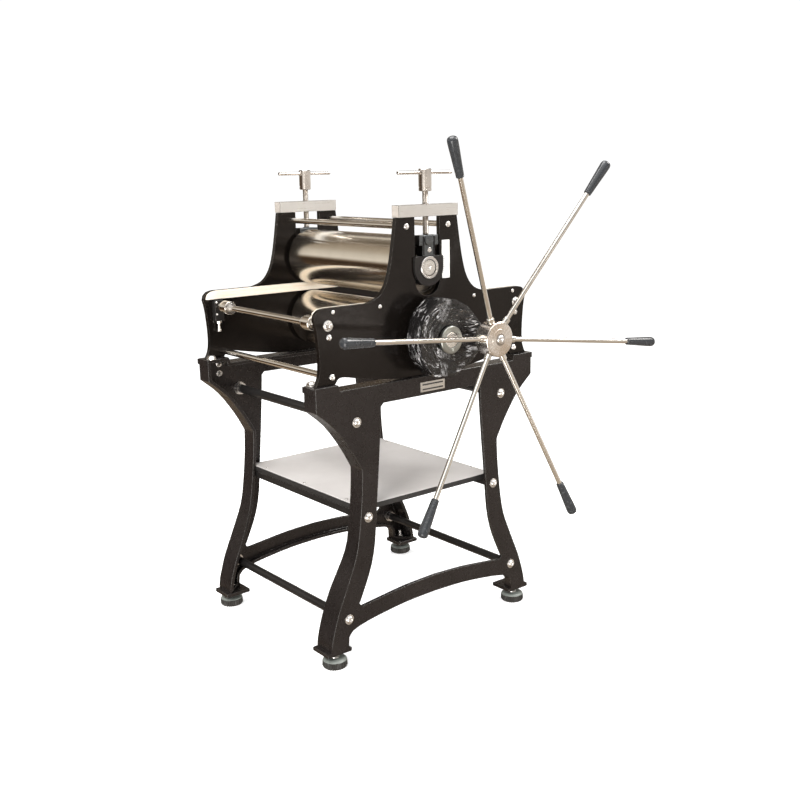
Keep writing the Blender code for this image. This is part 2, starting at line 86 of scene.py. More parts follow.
# ---------------------------------------------------------------- finishes
class Finish:
    """One procedural material: a Principled shader fed by noise in the piece's own coordinates."""

    def __init__(self, name, base, roughness, metallic=0.0, **sockets):
        self.material = bpy.data.materials.new(name)
        self.material.use_nodes = True
        self.tree = self.material.node_tree
        self.shader = self.tree.nodes["Principled BSDF"]
        self.shader.inputs["Base Color"].default_value = (*base, 1.0)
        self.shader.inputs["Roughness"].default_value = roughness
        self.shader.inputs["Metallic"].default_value = metallic
        for label, value in sockets.items():
            self.shader.inputs[label.replace("_", " ")].default_value = value
        self.where = self.tree.nodes.new("ShaderNodeTexCoord").outputs["Object"]

    def put(self, socket, value):
        if isinstance(value, bpy.types.NodeSocket):
            self.tree.links.new(value, socket)
        else:
            socket.default_value = value

    def node(self, kind, sockets, output=0, **settings):
        made = self.tree.nodes.new("ShaderNode" + kind)
        for label, value in settings.items():
            setattr(made, label, value)
        for label, value in sockets.items():
            self.put(made.inputs[label], value)
        return made.outputs[output]

    def math(self, operation, *values):
        return self.node("Math", dict(enumerate(values)), operation=operation)

    def vector(self, operation, *values, output=0):
        return self.node("VectorMath", dict(enumerate(values)), output, operation=operation)

    def split(self, value):
        made = self.tree.nodes.new("ShaderNodeSeparateXYZ")
        self.put(made.inputs[0], value)
        return made.outputs

    def about(self, centre):
        """The piece's own coordinates, measured from a centre."""
        return self.vector("ADD", self.where, tuple(-c for c in centre))

    def stretched(self, scale):
        return self.node("Mapping", {"Vector": self.where, "Scale": scale})

    def noise(self, scale, detail=3.0, at=None, roughness=0.5):
        return self.node("TexNoise", {"Vector": at or self.where, "Scale": scale, "Detail": detail,
                                      "Roughness": roughness})

    def rings(self, centre, axis, scale, detail=4.0):
        """Noise that only changes with the distance from an axis, as a lathe leaves on a face."""
        flat = [0.0 if i == axis else 1.0 for i in range(3)]
        length = self.vector("LENGTH", self.vector("MULTIPLY", self.about(centre), tuple(flat)), output=1)
        return self.node("TexNoise", {"W": length, "Scale": scale, "Detail": detail},
                         noise_dimensions="1D")

    def span(self, value, low, high, start=0.3, stop=0.7):
        return self.node("MapRange", {"Value": value, "From Min": start, "From Max": stop,
                                      "To Min": low, "To Max": high})

    def blend(self, factor, first, second):
        made = self.tree.nodes.new("ShaderNodeMix")
        made.data_type = "RGBA"
        self.put(made.inputs[0], factor)
        for index, value in ((6, first), (7, second)):
            self.put(made.inputs[index], value if isinstance(value, bpy.types.NodeSocket) else (*value, 1))
        return made.outputs[2]

    def colour(self, value):
        self.put(self.shader.inputs["Base Color"], value)
        return self

    def rough(self, value):
        self.put(self.shader.inputs["Roughness"], value)
        return self

    def bump(self, *layers):
        """Each layer is (height, strength, distance in metres)."""
        normal = None
        for height, strength, distance in layers:
            sockets = {"Height": height, "Strength": strength, "Distance": distance}
            if normal is not None:
                sockets["Normal"] = normal
            normal = self.node("Bump", sockets)
        self.put(self.shader.inputs["Normal"], normal)
        return self


def paint(name, dark, light, rough, lump, peel, level=0.4):
    """Black paint: uneven tone, roughness in patches, cast lumps and a fine orange peel."""
    f = Finish(name, dark, rough[0], Specular_IOR_Level=level, Specular_Tint=(1.0, 0.92, 0.89, 1))
    f.colour(f.blend(f.span(f.noise(9, 5), 0, 1), dark, light))
    f.rough(f.span(f.noise(55, 4), *rough))
    return f.bump((f.noise(lump[0], 3), lump[1], lump[2]), (f.noise(peel[0], 2), peel[1], 0.00006))


def worn_edge(name, coat, bare, amount):
    """Paint rubbed thin along an edge, so that metal shows here and there."""
    f = Finish(name, coat, 0.26, Specular_IOR_Level=1.0)
    rub = f.span(f.noise(140, 6, roughness=0.7), 0, 1, amount, amount + 0.16)
    f.colour(f.blend(rub, coat, bare))
    f.put(f.shader.inputs["Metallic"], f.span(rub, 0, 0.7, 0.2, 1))
    f.rough(f.span(f.noise(90, 4), 0.20, 0.34))
    return f.bump((f.noise(420, 4), 0.1, 0.0001))


def metal(name, base, rough, grain, strength=0.12, tint=0.86, ripple=0.04, **sockets):
    """Bare metal with a fine grain; grain is the stretch of the noise along X, Y, Z."""
    f = Finish(name, base, rough[0], 1.0, **sockets)
    lines = f.noise(1.0, 4, at=f.stretched(grain), roughness=0.65)
    stain = f.noise(24, 5)
    f.colour(f.blend(f.span(stain, 0, 1, 0.35, 0.75), base, tuple(c * tint for c in base)))
    f.rough(f.span(lines, *rough))
    return f.bump((lines, strength, 0.00005), (f.noise(35, 2), ripple, 0.0003))


def lathed(name, base, rough, centre, axis, scale=900, strength=0.25, **sockets):
    """Metal with the fine circles that a lathe leaves on a face."""
    f = Finish(name, base, rough[0], 1.0, **sockets)
    lines = f.rings(centre, axis, scale)
    f.colour(f.blend(f.span(f.noise(30, 5), 0, 1), base, tuple(c * 0.86 for c in base)))
    f.rough(f.span(lines, *rough))
    return f.bump((lines, strength, 0.00006), (f.noise(500, 2), 0.05, 0.00004))


def ground(name, base, rough, grain, stretch):
    """Steel ground on a cylinder about Y: fine hoops, with reflections drawn out along the axis."""
    f = metal(name, base, rough, grain, 0.05, 0.93, Anisotropic=stretch, Anisotropic_Rotation=0.25)
    f.put(f.shader.inputs["Tangent"], f.node("Tangent", {}, direction_type="RADIAL", axis="Y"))
    return f


def hub_finish(centre):
    """A faced hub: lathe rings, and a painted sheen in the colour that swings round the axis."""
    f = lathed("turned_hub_painted_sheen", (0.93, 0.89, 0.84), (0.18, 0.30), centre, 1, 800, 0.3)
    x, y, z = f.split(f.about(centre))
    turn = f.math("ARCTAN2", z, x)
    swing = f.math("SINE", f.math("MULTIPLY_ADD", turn, 2.0, 0.6))
    ray = f.node("TexNoise", {"W": turn, "Scale": 7.0, "Detail": 3.0}, noise_dimensions="1D")
    painted_sheen = f.math("MULTIPLY_ADD", swing, 0.22, ray)
    # painted sheen: the colour runs from tan to near white by the angle round the axis
    f.colour(f.blend(f.span(painted_sheen, 0, 1, 0.28, 0.80), (0.76, 0.67, 0.58), (1.0, 0.98, 0.96)))
    return f


def beech_finish():
    f = Finish("beech_varnished", (0.80, 0.66, 0.48), 0.38, Coat_Weight=0.25, Coat_Roughness=0.2)
    grain = f.noise(1.0, 6, at=f.stretched((5, 90, 160)), roughness=0.62)
    fleck = f.noise(1.0, 2, at=f.stretched((60, 500, 900)))
    tone = f.blend(f.span(grain, 0, 1, 0.32, 0.7), (0.97, 0.90, 0.79), (0.90, 0.77, 0.60))
    f.colour(f.blend(f.span(fleck, 0, 0.5, 0.6, 0.72), tone, (0.46, 0.30, 0.17)))
    f.rough(f.span(grain, 0.32, 0.5))
    return f.bump((grain, 0.2, 0.0002), (fleck, 0.2, 0.0001))


def board_finish(name, base, other, rough):
    f = Finish(name, base, rough[0])
    f.colour(f.blend(f.span(f.noise(5, 6), 0, 1, 0.3, 0.72), base, other))
    f.rough(f.span(f.noise(26, 5), *rough))
    scuff = f.noise(1.0, 3, at=f.stretched((14, 260, 10)))
    return f.bump((f.noise(900, 2), 0.06, 0.00005), (scuff, 0.03, 0.00015))


def plastic(name, base, rough, fine=1200, strength=0.08, **sockets):
    f = Finish(name, base, rough[0], **sockets)
    f.colour(f.blend(f.span(f.noise(60, 4), 0, 1), base, tuple(c * 1.35 for c in base)))
    f.rough(f.span(f.noise(120, 4), *rough))
    return f.bump((f.noise(fine, 2), strength, 0.00005), (f.noise(80, 2), 0.05, 0.0003))


def film_finish():
    """Smoky stretch film, pulled into glossy creases, with highlights painted light grey along the creases.
    """
    f = Finish("stretch_film", (0.016, 0.015, 0.015), 0.14, Specular_IOR_Level=0.7, Coat_Weight=0.5,
               Coat_Roughness=0.08)
    moved = f.about((MX, 0.0, LOWER_Z))
    x, y, z = f.split(moved)
    reach = f.vector("LENGTH", f.node("CombineXYZ", {"X": x, "Z": z}), output=1)
    turn = f.math("ARCTAN2", z, x)
    hoops = f.node("CombineXYZ", {"X": f.math("MULTIPLY", reach, 95.0), "Y": f.math("MULTIPLY", turn, 1.5),
                                  "Z": f.math("MULTIPLY", y, 70.0)})
    pulls = f.node("Mapping", {"Vector": moved, "Rotation": (0, 0.12, 0), "Scale": (12, 30, 110)})
    towards_pinion = f.node("MapRange", {"Value": x, "From Min": -0.03, "From Max": 0.012})
    field = f.node("Mix", {0: towards_pinion}, output=1, data_type="VECTOR")
    f.put(field.node.inputs[4], hoops)
    f.put(field.node.inputs[5], pulls)
    warp = f.vector("MULTIPLY", f.node("TexNoise", {"Vector": moved, "Scale": 26.0}, output=1),
                    (0.9, 0.9, 0.9))
    crease = f.noise(1.0, 4, at=f.vector("ADD", field, warp), roughness=0.55)
    ridge = f.math("ABSOLUTE", f.math("SUBTRACT", crease, 0.5))
    shine = f.span(ridge, 1, 0, 0.004, 0.034)
    patch = f.span(f.noise(30, 2), 0.0, 1.0, 0.46, 0.64)
    painted_crease_highlight = f.math("MULTIPLY", shine, patch)
    # painted highlights: the crease lines are coloured light grey
    f.colour(f.blend(painted_crease_highlight, (0.013, 0.012, 0.012), (0.58, 0.565, 0.56)))
    f.rough(f.span(crease, 0.10, 0.30))
    f.put(f.shader.inputs["Alpha"], f.span(painted_crease_highlight, 0.62, 0.97, 0.0, 0.5))
    return f.bump((ridge, 0.5, 0.0014))


def build_finishes():
    roller = (MX, MY, UPPER_Z)
    made = {
        "cast": paint("cast_paint", (0.0098, 0.0080, 0.0075), (0.0150, 0.0124, 0.0117), (0.22, 0.34),
                      (9, 0.12, 0.0006), (900, 0.05), 0.42),
        "plate": paint("plate_paint", (0.0046, 0.0036, 0.0030), (0.0062, 0.0049, 0.0041), (0.14, 0.21),
                       (16, 0.08, 0.0008), (900, 0.04), 0.29),
        "satin": paint("satin_black", (0.0095, 0.0088, 0.0085), (0.016, 0.015, 0.0145), (0.28, 0.42),
                       (120, 0.12, 0.0003), (900, 0.16), 0.35),
        "edge": worn_edge("paint_edge", (0.016, 0.0145, 0.0135), (0.42, 0.39, 0.36), 0.62),
        # painted shade: bare machined steel coloured dark, for the slot walls and the pads under the side
        # plates
        "slot": metal("slot_steel_painted_shade", (0.075, 0.07, 0.065), (0.30, 0.46), (40, 40, 700)),
        "board": board_finish("pale_board", (0.60, 0.575, 0.56), (0.52, 0.495, 0.48), (0.32, 0.44)),
        "banding": plastic("black_banding", (0.018, 0.017, 0.0165), (0.4, 0.55)),
        "beech": beech_finish(),
        "rod": ground("bright_rod", (0.88, 0.84, 0.79), (0.12, 0.24), (9, 700, 9), 0.4),
        "spoke": metal("bright_spoke", (0.90, 0.87, 0.82), (0.12, 0.22), (160, 160, 160), 0.06),
        "roller": ground("ground_roller", (0.90, 0.84, 0.75), (0.14, 0.20), (5, 900, 5), 0.68),
        # painted shade: the end faces of the roller barrels are coloured dark
        "roller_end_painted_shade": lathed("roller_end_painted_shade", (0.20, 0.18, 0.155), (0.24, 0.40), roller, 1),
        "journal": lathed("journal_end", (0.90, 0.89, 0.87), (0.16, 0.30), roller, 1, 1100),
        "cap": metal("machined_cap", (0.95, 0.95, 0.94), (0.26, 0.38), (9, 500, 500), 0.10, 0.94),
        # painted shade: the cap's end faces are coloured darker than its long faces
        "cap_end_painted_shade": plastic("end_face_painted_shade", (0.30, 0.27, 0.24), (0.35, 0.5), 900, 0.1),
        # painted shade: the cap's rounded edges are coloured dark to draw its outline
        "cap_edge_painted_shade": metal("cap_edge_painted_shade", (0.13, 0.12, 0.11), (0.24, 0.38), (9, 500, 500), 0.10, 0.9),
        "screw": metal("turned_screw", (0.78, 0.74, 0.70), (0.15, 0.19), (30, 30, 300), 0.0, ripple=0.0),
        "thread": metal("thread_steel", (0.50, 0.46, 0.42), (0.24, 0.38), (200, 200, 200), 0.12, 0.7),
        "yoke": metal("yoke_steel", (0.17, 0.185, 0.195), (0.24, 0.42), (60, 60, 500), 0.2, 0.75),
        "guide": metal("yoke_guide", (0.05, 0.05, 0.052), (0.3, 0.46), (60, 60, 500), 0.2, 0.75),
        "ring": lathed("bearing_ring", (0.93, 0.92, 0.91), (0.16, 0.3), roller, 1, 1400),
        "disc": lathed("gear_washer", (0.42, 0.43, 0.40), (0.26, 0.42), (MX, MY, LOWER_Z), 1, 700),
        "zinc": metal("zinc_bolt", (0.95, 0.94, 0.93), (0.2, 0.36), (130, 130, 130), 0.10, 0.9),
        "gear": metal("oiled_gear", (0.085, 0.080, 0.076), (0.22, 0.42), (160, 30, 160), 0.2, 0.7),
        "pinion": metal("pinion_steel", (0.50, 0.48, 0.45), (0.22, 0.38), (60, 700, 60), 0.15),
        "hub": hub_finish(middle("wheel_hub")),
        "grip": plastic("grip_plastic", (0.022, 0.024, 0.027), (0.20, 0.30), 1500, 0.04,
                        Specular_IOR_Level=0.6),
        "rubber": plastic("foot_rubber", (0.024, 0.023, 0.021), (0.40, 0.56), 900, 0.2),
        "foot_top": plastic("foot_top", (0.17, 0.185, 0.17), (0.34, 0.5), 900, 0.15),
        "film": film_finish(),
        "label": plastic("label_plastic", (0.86, 0.85, 0.83), (0.3, 0.42)),
        "ink": plastic("label_ink", (0.03, 0.03, 0.03), (0.4, 0.5)),
        "badge": metal("badge_metal", (0.86, 0.85, 0.83), (0.24, 0.36), (12, 12, 500), 0.1, 0.9),
    }
    return {key: f.material for key, f in made.items()}


FINISH = build_finishes()


# ---------------------------------------------------------------- shapes
def upright(x, y, z):
    return Matrix.Translation((x, y, z))


def along_x(x, y, z):
    return upright(x, y, z) @ Matrix.Rotation(math.pi / 2, 4, "Y")


def outward(side, x, y, z):
    """Local Z pointing along +Y or -Y, by the sign of side."""
    return upright(x, y, z) @ Matrix.Rotation(-side * math.pi / 2, 4, "X")


def eased(profile, radius, steps=3):
    """Round the corners of a turned profile."""
    out = [profile[0]]
    for before, here, after in zip(profile, profile[1:], profile[2:]):
        a, b, c = Vector(before), Vector(here), Vector(after)
        u, v = a - b, c - b
        if u.length < 1e-6 or v.length < 1e-6 or u.angle(v) > math.radians(162):
            out.append(here)
            continue
        cut = min(radius, u.length * 0.45, v.length * 0.45)
        start, stop = b + u.normalized() * cut, b + v.normalized() * cut
        for i in range(steps + 1):
            t = i / steps
            out.append(tuple(start * (1 - t) ** 2 + b * (2 * t * (1 - t)) + stop * t ** 2))
    out.append(profile[-1])
    return out


class Piece:
    """A visual piece: shells added one by one, each with its own finish."""

    def __init__(self, name):
        self.name = name
        self.mesh = bmesh.new()
        self.finishes = []

    def index(self, finish):
        if finish not in self.finishes:
            self.finishes.append(finish)
        return self.finishes.index(finish)

    def take(self, shell, place=None):
        bmesh.ops.recalc_face_normals(shell, faces=shell.faces)
        if place is not None:
            shell.transform(place)
        kept = bpy.data.meshes.new("shell")
        shell.to_mesh(kept)
        shell.free()
        self.mesh.from_mesh(kept)
        bpy.data.meshes.remove(kept)
        return self

    def turned(self, profile, place, finish, segments=48, ring=False, ease=0.0, flutes=0, depth=0.0,
               hexed=()):
        """Turn (distance, radius) about local Z; rows numbered in hexed are six-sided."""
        if ease:
            profile = eased(profile, ease)
        shell = bmesh.new()
        number = self.index(finish)
        rows = []
        for count, (distance, radius) in enumerate(profile):
            if radius < 1e-7:
                rows.append([shell.verts.new((0, 0, distance))])
                continue
            row = []
            for i in range(segments):
                turn = TURN * i / segments
                r = radius
                if count in hexed:
                    r = radius / math.cos((turn + math.pi / 6) % (math.pi / 3) - math.pi / 6)
                if flutes:
                    r -= depth * (0.5 + 0.5 * math.cos(turn * flutes))
                row.append(shell.verts.new((r * math.cos(turn), r * math.sin(turn), distance)))
            rows.append(row)
        pairs = list(zip(rows, rows[1:])) + ([(rows[-1], rows[0])] if ring else [])
        for a, b in pairs:
            for i in range(segments):
                j = (i + 1) % segments
                corners = [a[i % len(a)], a[j % len(a)], b[j % len(b)], b[i % len(b)]]
                corners = list(dict.fromkeys(corners))
                if len(corners) > 2:
                    shell.faces.new(corners).material_index = number
        return self.take(shell, place)

    def block(self, low, high, finish, bevel):
        shell = bmesh.new()
        bmesh.ops.create_cube(shell, size=1.0)
        low, high = Vector(low), Vector(high)
        size = [abs(d) for d in high - low]
        shell.transform(Matrix.Translation((low + high) / 2) @ Matrix.Diagonal((*size, 1)))
        if bevel:
            bmesh.ops.bevel(shell, geom=shell.edges[:], offset=bevel, segments=2, profile=0.6,
                            affect="EDGES")
        number = self.index(finish)
        for face in shell.faces:
            face.material_index = number
        return self.take(shell)

    def thread(self, low, high, radius, pitch, depth, place, finish, segments=20):
        """A real helical thread between two distances, closed at both ends."""
        shell = bmesh.new()
        count = max(4, round((high - low) / pitch * 6))
        rows = []
        for k in range(count + 1):
            distance = low + (high - low) * k / count
            row = []
            for i in range(segments):
                phase = (distance / pitch - i / segments) % 1.0
                r = radius - depth * abs(2 * phase - 1)
                turn = TURN * i / segments
                row.append(shell.verts.new((r * math.cos(turn), r * math.sin(turn), distance)))
            rows.append(row)
        number = self.index(finish)
        for a, b in zip(rows, rows[1:]):
            for i in range(segments):
                j = (i + 1) % segments
                shell.faces.new((a[i], a[j], b[j], b[i]))
        shell.faces.new(rows[0][::-1])
        shell.faces.new(rows[-1])
        for face in shell.faces:
            face.material_index = number
        return self.take(shell, place)

    def cad(self, node, finish, bevel, angle, edge=None, choose=None, segments=2, shortest=0.0):
        """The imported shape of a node, its flat faces made whole and its sharp edges rounded.

        An edge stays sharp where it, or one that meets it, is no longer than shortest.
        """
        shell = bmesh.new()
        shell.from_mesh(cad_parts[node].data)
        bmesh.ops.remove_doubles(shell, verts=shell.verts, dist=1e-5)
        bmesh.ops.dissolve_limit(shell, angle_limit=math.radians(0.6), verts=shell.verts,
                                 edges=shell.edges)
        number = self.index(finish)
        for face in shell.faces:
            face.material_index = number
            if choose:
                picked = choose(face.calc_center_median(), face.normal)
                if picked:
                    face.material_index = self.index(picked)
        sharp = [e for e in shell.edges if len(e.link_faces) == 2
                 and e.calc_face_angle(0) > math.radians(angle)
                 and min(near.calc_length() for v in e.verts for near in v.link_edges) > shortest]
        bmesh.ops.bevel(shell, geom=sharp, offset=bevel, segments=segments, profile=0.6, affect="EDGES",
                        clamp_overlap=True, material=self.index(edge) if edge else -1)
        return self.take(shell)

    def sheet(self, points, faces, finish):
        shell = bmesh.new()
        verts = [shell.verts.new(p) for p in points]
        number = self.index(finish)
        for face in faces:
            shell.faces.new([verts[i] for i in face]).material_index = number
        return self.take(shell)

    def done(self, body, slot, *nodes, angle=34, weighted=True):
        mesh = bpy.data.meshes.new(self.name)
        self.mesh.to_mesh(mesh)
        self.mesh.free()
        for finish in self.finishes:
            mesh.materials.append(FINISH[finish])
        mesh.shade_smooth()
        mesh.set_sharp_from_angle(angle=math.radians(angle))
        made = bpy.data.objects.new(self.name, mesh)
        bpy.context.scene.collection.objects.link(made)
        if weighted:
            made.modifiers.new("normals", "WEIGHTED_NORMAL").keep_sharp = True
        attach(made, body)
        if nodes:
            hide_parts(*nodes)
        return made


HEX_SOCKET = 0.42


def bolt_head(piece, place, radius, height, finish="zinc", washer=0.0):
    """A domed head with a six-sided socket, on a washer if one is asked for."""
    base = 0.0
    if washer:
        piece.turned([(0, 0), (0, washer), (0.0016, washer), (0.0016, 0)], place, finish, 32,
                     ease=0.0004)
        base = 0.0014
    top = base + height
    key = radius * HEX_SOCKET
    profile = [(base, 0), (base, radius), (base + height * 0.35, radius),
               (base + height * 0.72, radius * 0.88), (base + height * 0.95, radius * 0.66),
               (top, key * 1.35), (top - 0.0002, key), (top - height * 0.5, key),
               (top - height * 0.62, 0)]
    piece.turned(profile, place, finish, 36, hexed=(6, 7))


def hex_nut(piece, place, across, height, washer, end, stick=0.004):
    """A chamfered hexagon nut on a washer, with a threaded end standing out of it."""
    base = 0.0016
    half = across / 2
    finish = "zinc"
    piece.turned([(0, 0), (0, washer), (0.0018, washer), (0.0018, 0)], place, finish, 36, ease=0.0004)
    top = base + height
    piece.turned([(base, 0), (base, half * 0.96), (base + height * 0.16, half), (top - height * 0.2, half),
                  (top, half * 0.95), (top, 0)], place, finish, 36, hexed=(2, 3))
    tip = top + stick
    piece.thread(top - 0.0006, tip, end, 0.0015, 0.0007, place, "thread", 24)
    piece.turned([(tip, 0), (tip, end * 0.86), (tip + 0.0008, end * 0.7), (tip + 0.0008, 0)], place,
                 finish, 24)


def countersunk(piece, place, radius):
    """A small countersunk screw with a cross recess ring, flush but for its rim."""
    piece.turned([(0, 0), (0, radius), (0.0006, radius), (0.0012, radius * 0.8), (0.0012, radius * 0.42),
                  (0.0003, radius * 0.3), (0.0003, 0)], place, "zinc", 24, hexed=(4, 5))


# ---------------------------------------------------------------- stand
WEB = 0.009
FOOT_PLATE_TOP = 0.048
FOOT_PLATE_LOW = 0.038
RAIL_END = 0.3554
RAIL_DEPTH = 0.0495
PAD_START = 0.2915
PAD_NUT_X = 0.3385
RAIL_NUT_X = 0.3010
RAIL_NUT_LEVELS = (0.6980, 0.6720)
SHELF_SCREW_STEP = 0.19


def bar(node, slot, finish):
    """A round bar along Y, as long and thick as its CAD node."""
    low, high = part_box(node)
    spot, r = middle(node), radius_of(node)
    piece = Piece(node + "_bar")
    piece.turned([(low.y, 0), (low.y, r), (high.y, r), (high.y, 0)], outward(1, spot.x, 0, spot.z), finish,
                 48, ease=0.001)
    piece.done("frame", slot, node)


def build_stand():
    for word, side in SIDES:
        node = f"stand_side_{word}"
        piece = Piece(f"cast_side_{word}").cad(node, "cast", 0.0024, 32, "edge", segments=3, shortest=0.0046)
        piece.done("frame", "stand_cast", node)
    for end, hand in ENDS:
        bar(f"upper_tube_{end}", "black_tube", "satin")
        bar(f"lower_rod_{end}", "black_tube", "satin")
        rail = Piece(f"shelf_bearer_{end}").cad(f"shelf_rail_{end}", "satin", 0.0012, 30, "edge")
        rail.done("frame", "black_tube", f"shelf_rail_{end}")
    fixings = Piece("stand_bolts")
    washers = Piece("tube_washers")
    for word, side in SIDES:
        face = face_of(f"stand_side_{word}", side)
        for end, hand in ENDS:
            for node in (f"upper_tube_{end}", f"lower_rod_{end}", f"shelf_rail_{end}"):
                spot = middle(node)
                bolt_head(fixings, outward(side, spot.x, face, spot.z), 0.0098, 0.0062, washer=0.0128)
                if node.startswith("shelf"):
                    continue
                r = radius_of(node)
                place = outward(-side, spot.x, face - side * (WEB + 0.0002), spot.z)
                for start, stop, first, last, finish in ((0, 0.0022, 0.0058, 0.0058, "zinc"),
                                                         (0.0022, 0.0110, 0.0026, 0.0022, "satin"),
                                                         (0.0110, 0.0128, 0.0040, 0.0040, "zinc")):
                    washers.turned([(start, r + 0.0002), (start, r + first), (stop, r + last),
                                    (stop, r + 0.0002)], place, finish, 40, True)
    fixings.done("frame", "bright_screw")
    washers.done("frame", "bright_screw")
    build_pads()
    build_shelf()
    for word, side in SIDES:
        for end, hand in ENDS:
            build_foot(word, end)


def build_pads():
    """The machined pads that the side plates stand on, with a lip at the ends and a dome nut inside."""
    pads = Piece("pad_faces")
    lips = Piece("rail_end_lips")
    nuts = Piece("pad_nuts")
    for word, side in SIDES:
        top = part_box(f"stand_side_{word}")[1].z
        face = face_of(f"stand_side_{word}", side)
        inner = face_of(f"side_plate_{word}", -side)
        for end, hand in ENDS:
            outer_x = MX + hand * RAIL_END
            lips.block((outer_x - hand * 0.0004, face - side * 0.0004, top - 0.0152),
                       (outer_x + hand * 0.0048, face - side * RAIL_DEPTH, top - 0.0006), "cast", 0.0012)
            # the pad takes the dark slot steel colour, painted shade
            pads.block((MX + hand * PAD_START, face - side * 0.0018, top - 0.0009),
                       (outer_x - hand * 0.002, inner + side * 0.0130, top - 0.0002), "slot", 0.0002)
            place = upright(MX + hand * PAD_NUT_X, inner - side * 0.0160, top - 0.0004)
            nuts.turned([(0, 0), (0, 0.0138), (0.0018, 0.0138), (0.0018, 0.0108), (0.0062, 0.0108),
                         (0.0092, 0.0086), (0.0108, 0.0046), (0.0112, 0)], place, "zinc", 36, hexed=(3, 4))
            for level in RAIL_NUT_LEVELS:
                hex_nut(nuts, outward(-side, MX + hand * RAIL_NUT_X, face - side * WEB, level), 0.013, 0.006,
                        washer=0.0084, end=0.0040)
    lips.done("frame", "stand_cast")
    pads.done("frame", "stand_cast")
    nuts.done("frame", "bright_screw")


def build_shelf():
    low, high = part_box("shelf_board")
    top = 0.0016
    piece = Piece("shelf_board_laminate")
    piece.block((low.x, low.y, low.z), (high.x, high.y, high.z - top), "banding", 0.0012)
    piece.block((low.x + 0.0003, low.y + 0.0003, high.z - top), (high.x - 0.0003, high.y - 0.0003, high.z),
                "board", 0.0006)
    piece.done("frame", "shelf_board", "shelf_board")
    screws = Piece("shelf_screws")
    for end, hand in ENDS:
        x = middle(f"shelf_rail_{end}").x
        for step in (-1, 0, 1):
            countersunk(screws, upright(x, MY + step * SHELF_SCREW_STEP, high.z), 0.0046)
    screws.done("frame", "bright_screw")


def build_foot(word, end):
    node = f"levelling_foot_{word}_{end}"
    spot, r = middle(node), radius_of(node)
    body = f"foot_{word}_{end}"
    pad = Piece(body + "_pad")
    place = upright(spot.x, spot.y, 0)
    pad.turned([(0, 0), (0, r - 0.004), (0.0010, r - 0.0022), (0.0034, r - 0.0014), (0.0040, r),
                (0.0180, r - 0.0006), (0.0190, r - 0.0022), (0.0190, 0)], place, "rubber", 168, flutes=28,
               depth=0.0018)
    pad.turned([(0.0188, 0), (0.0188, r - 0.0016), (0.0204, r - 0.0018), (0.0212, r - 0.0030),
                (0.0226, 0.0272), (0.0240, 0.0256), (0.0250, 0.0200), (0.0252, 0.0130), (0.0252, 0)], place,
               "foot_top", 96)
    pad.turned([(0.0248, 0), (0.0248, 0.0118), (0.0272, 0.0112), (0.0280, 0.0095), (0.0280, 0)], place,
               "zinc", 40, ease=0.0004)
    pad.thread(0.0277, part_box(node)[1].z, 0.0059, 0.00175, 0.0008, place, "zinc", 24)
    pad.done(body, "foot_rubber", node)
    nuts = Piece(body + "_nuts")
    for base in (FOOT_PLATE_TOP + 0.0002, FOOT_PLATE_LOW - 0.0094):
        nuts.turned([(0, 0.0062), (0, 0.0092), (0.0012, 0.0096), (0.0070, 0.0096), (0.0084, 0.0090),
                     (0.0084, 0.0062)], upright(spot.x, spot.y, base), "zinc", 36, True,
                    hexed=(1, 2, 3, 4))
    nuts.done("frame", "bright_screw")


# ---------------------------------------------------------------- side plates
SLOT_HALF = 0.040
SLOT_BOTTOM = 0.895
STRIP_SCREWS = (-0.290, -0.152, 0.0, 0.155, 0.295)
SCALE_X = (0.047, 0.072)
SCALE_Z = (0.945, 1.040)
SCALE_MARKS = 17
BADGE_HALF = 0.040
BADGE_Z = (0.6655, 0.6905)
BADGE_BARS = ((0.6700, 0.6738), (0.6822, 0.6860))


def plate_faces(centre, normal):
    """The machined walls of the bearing slot are bare steel coloured dark as painted shade; the rest is black
    paint.
    """
    in_slot = abs(centre.x - MX) < SLOT_HALF + 0.002 and centre.z > SLOT_BOTTOM
    return "slot" if in_slot and abs(normal.y) < 0.3 else None


def build_side_plates():
    fixings = Piece("plate_bolts")
    for word, side in SIDES:
        node = f"side_plate_{word}"
        plate = Piece(node + "_painted").cad(node, "plate", 0.0014, 32, "edge", plate_faces)
        plate.done("frame", "plate_paint", node)
        strip = f"guide_strip_{word}"
        Piece(strip + "_beech").cad(strip, "beech", 0.0010, 25).done("frame", "beech", strip)
        face = face_of(node, side)
        level = middle(strip).z + 0.0008
        for x in STRIP_SCREWS:
            bolt_head(fixings, outward(side, MX + x, face, level), 0.0050, 0.0030)
        for end, hand in ENDS:
            axle, low_tie = middle(f"bed_axle_{end}"), middle(f"lower_tie_rod_{end}")
            top_tie = middle(f"top_tie_rod_{end}")
            hex_nut(fixings, outward(side, axle.x, face, axle.z), 0.019, 0.0068, washer=0.0130, end=0.0058)
            bolt_head(fixings, outward(side, axle.x - hand * 0.002, face, axle.z - 0.0275), 0.0076, 0.0046)
            bolt_head(fixings, outward(side, low_tie.x, face, low_tie.z), 0.0084, 0.0052)
            bolt_head(fixings, outward(side, top_tie.x, face, top_tie.z), 0.0080, 0.0050)
    fixings.done("frame", "bright_screw")
    build_label()


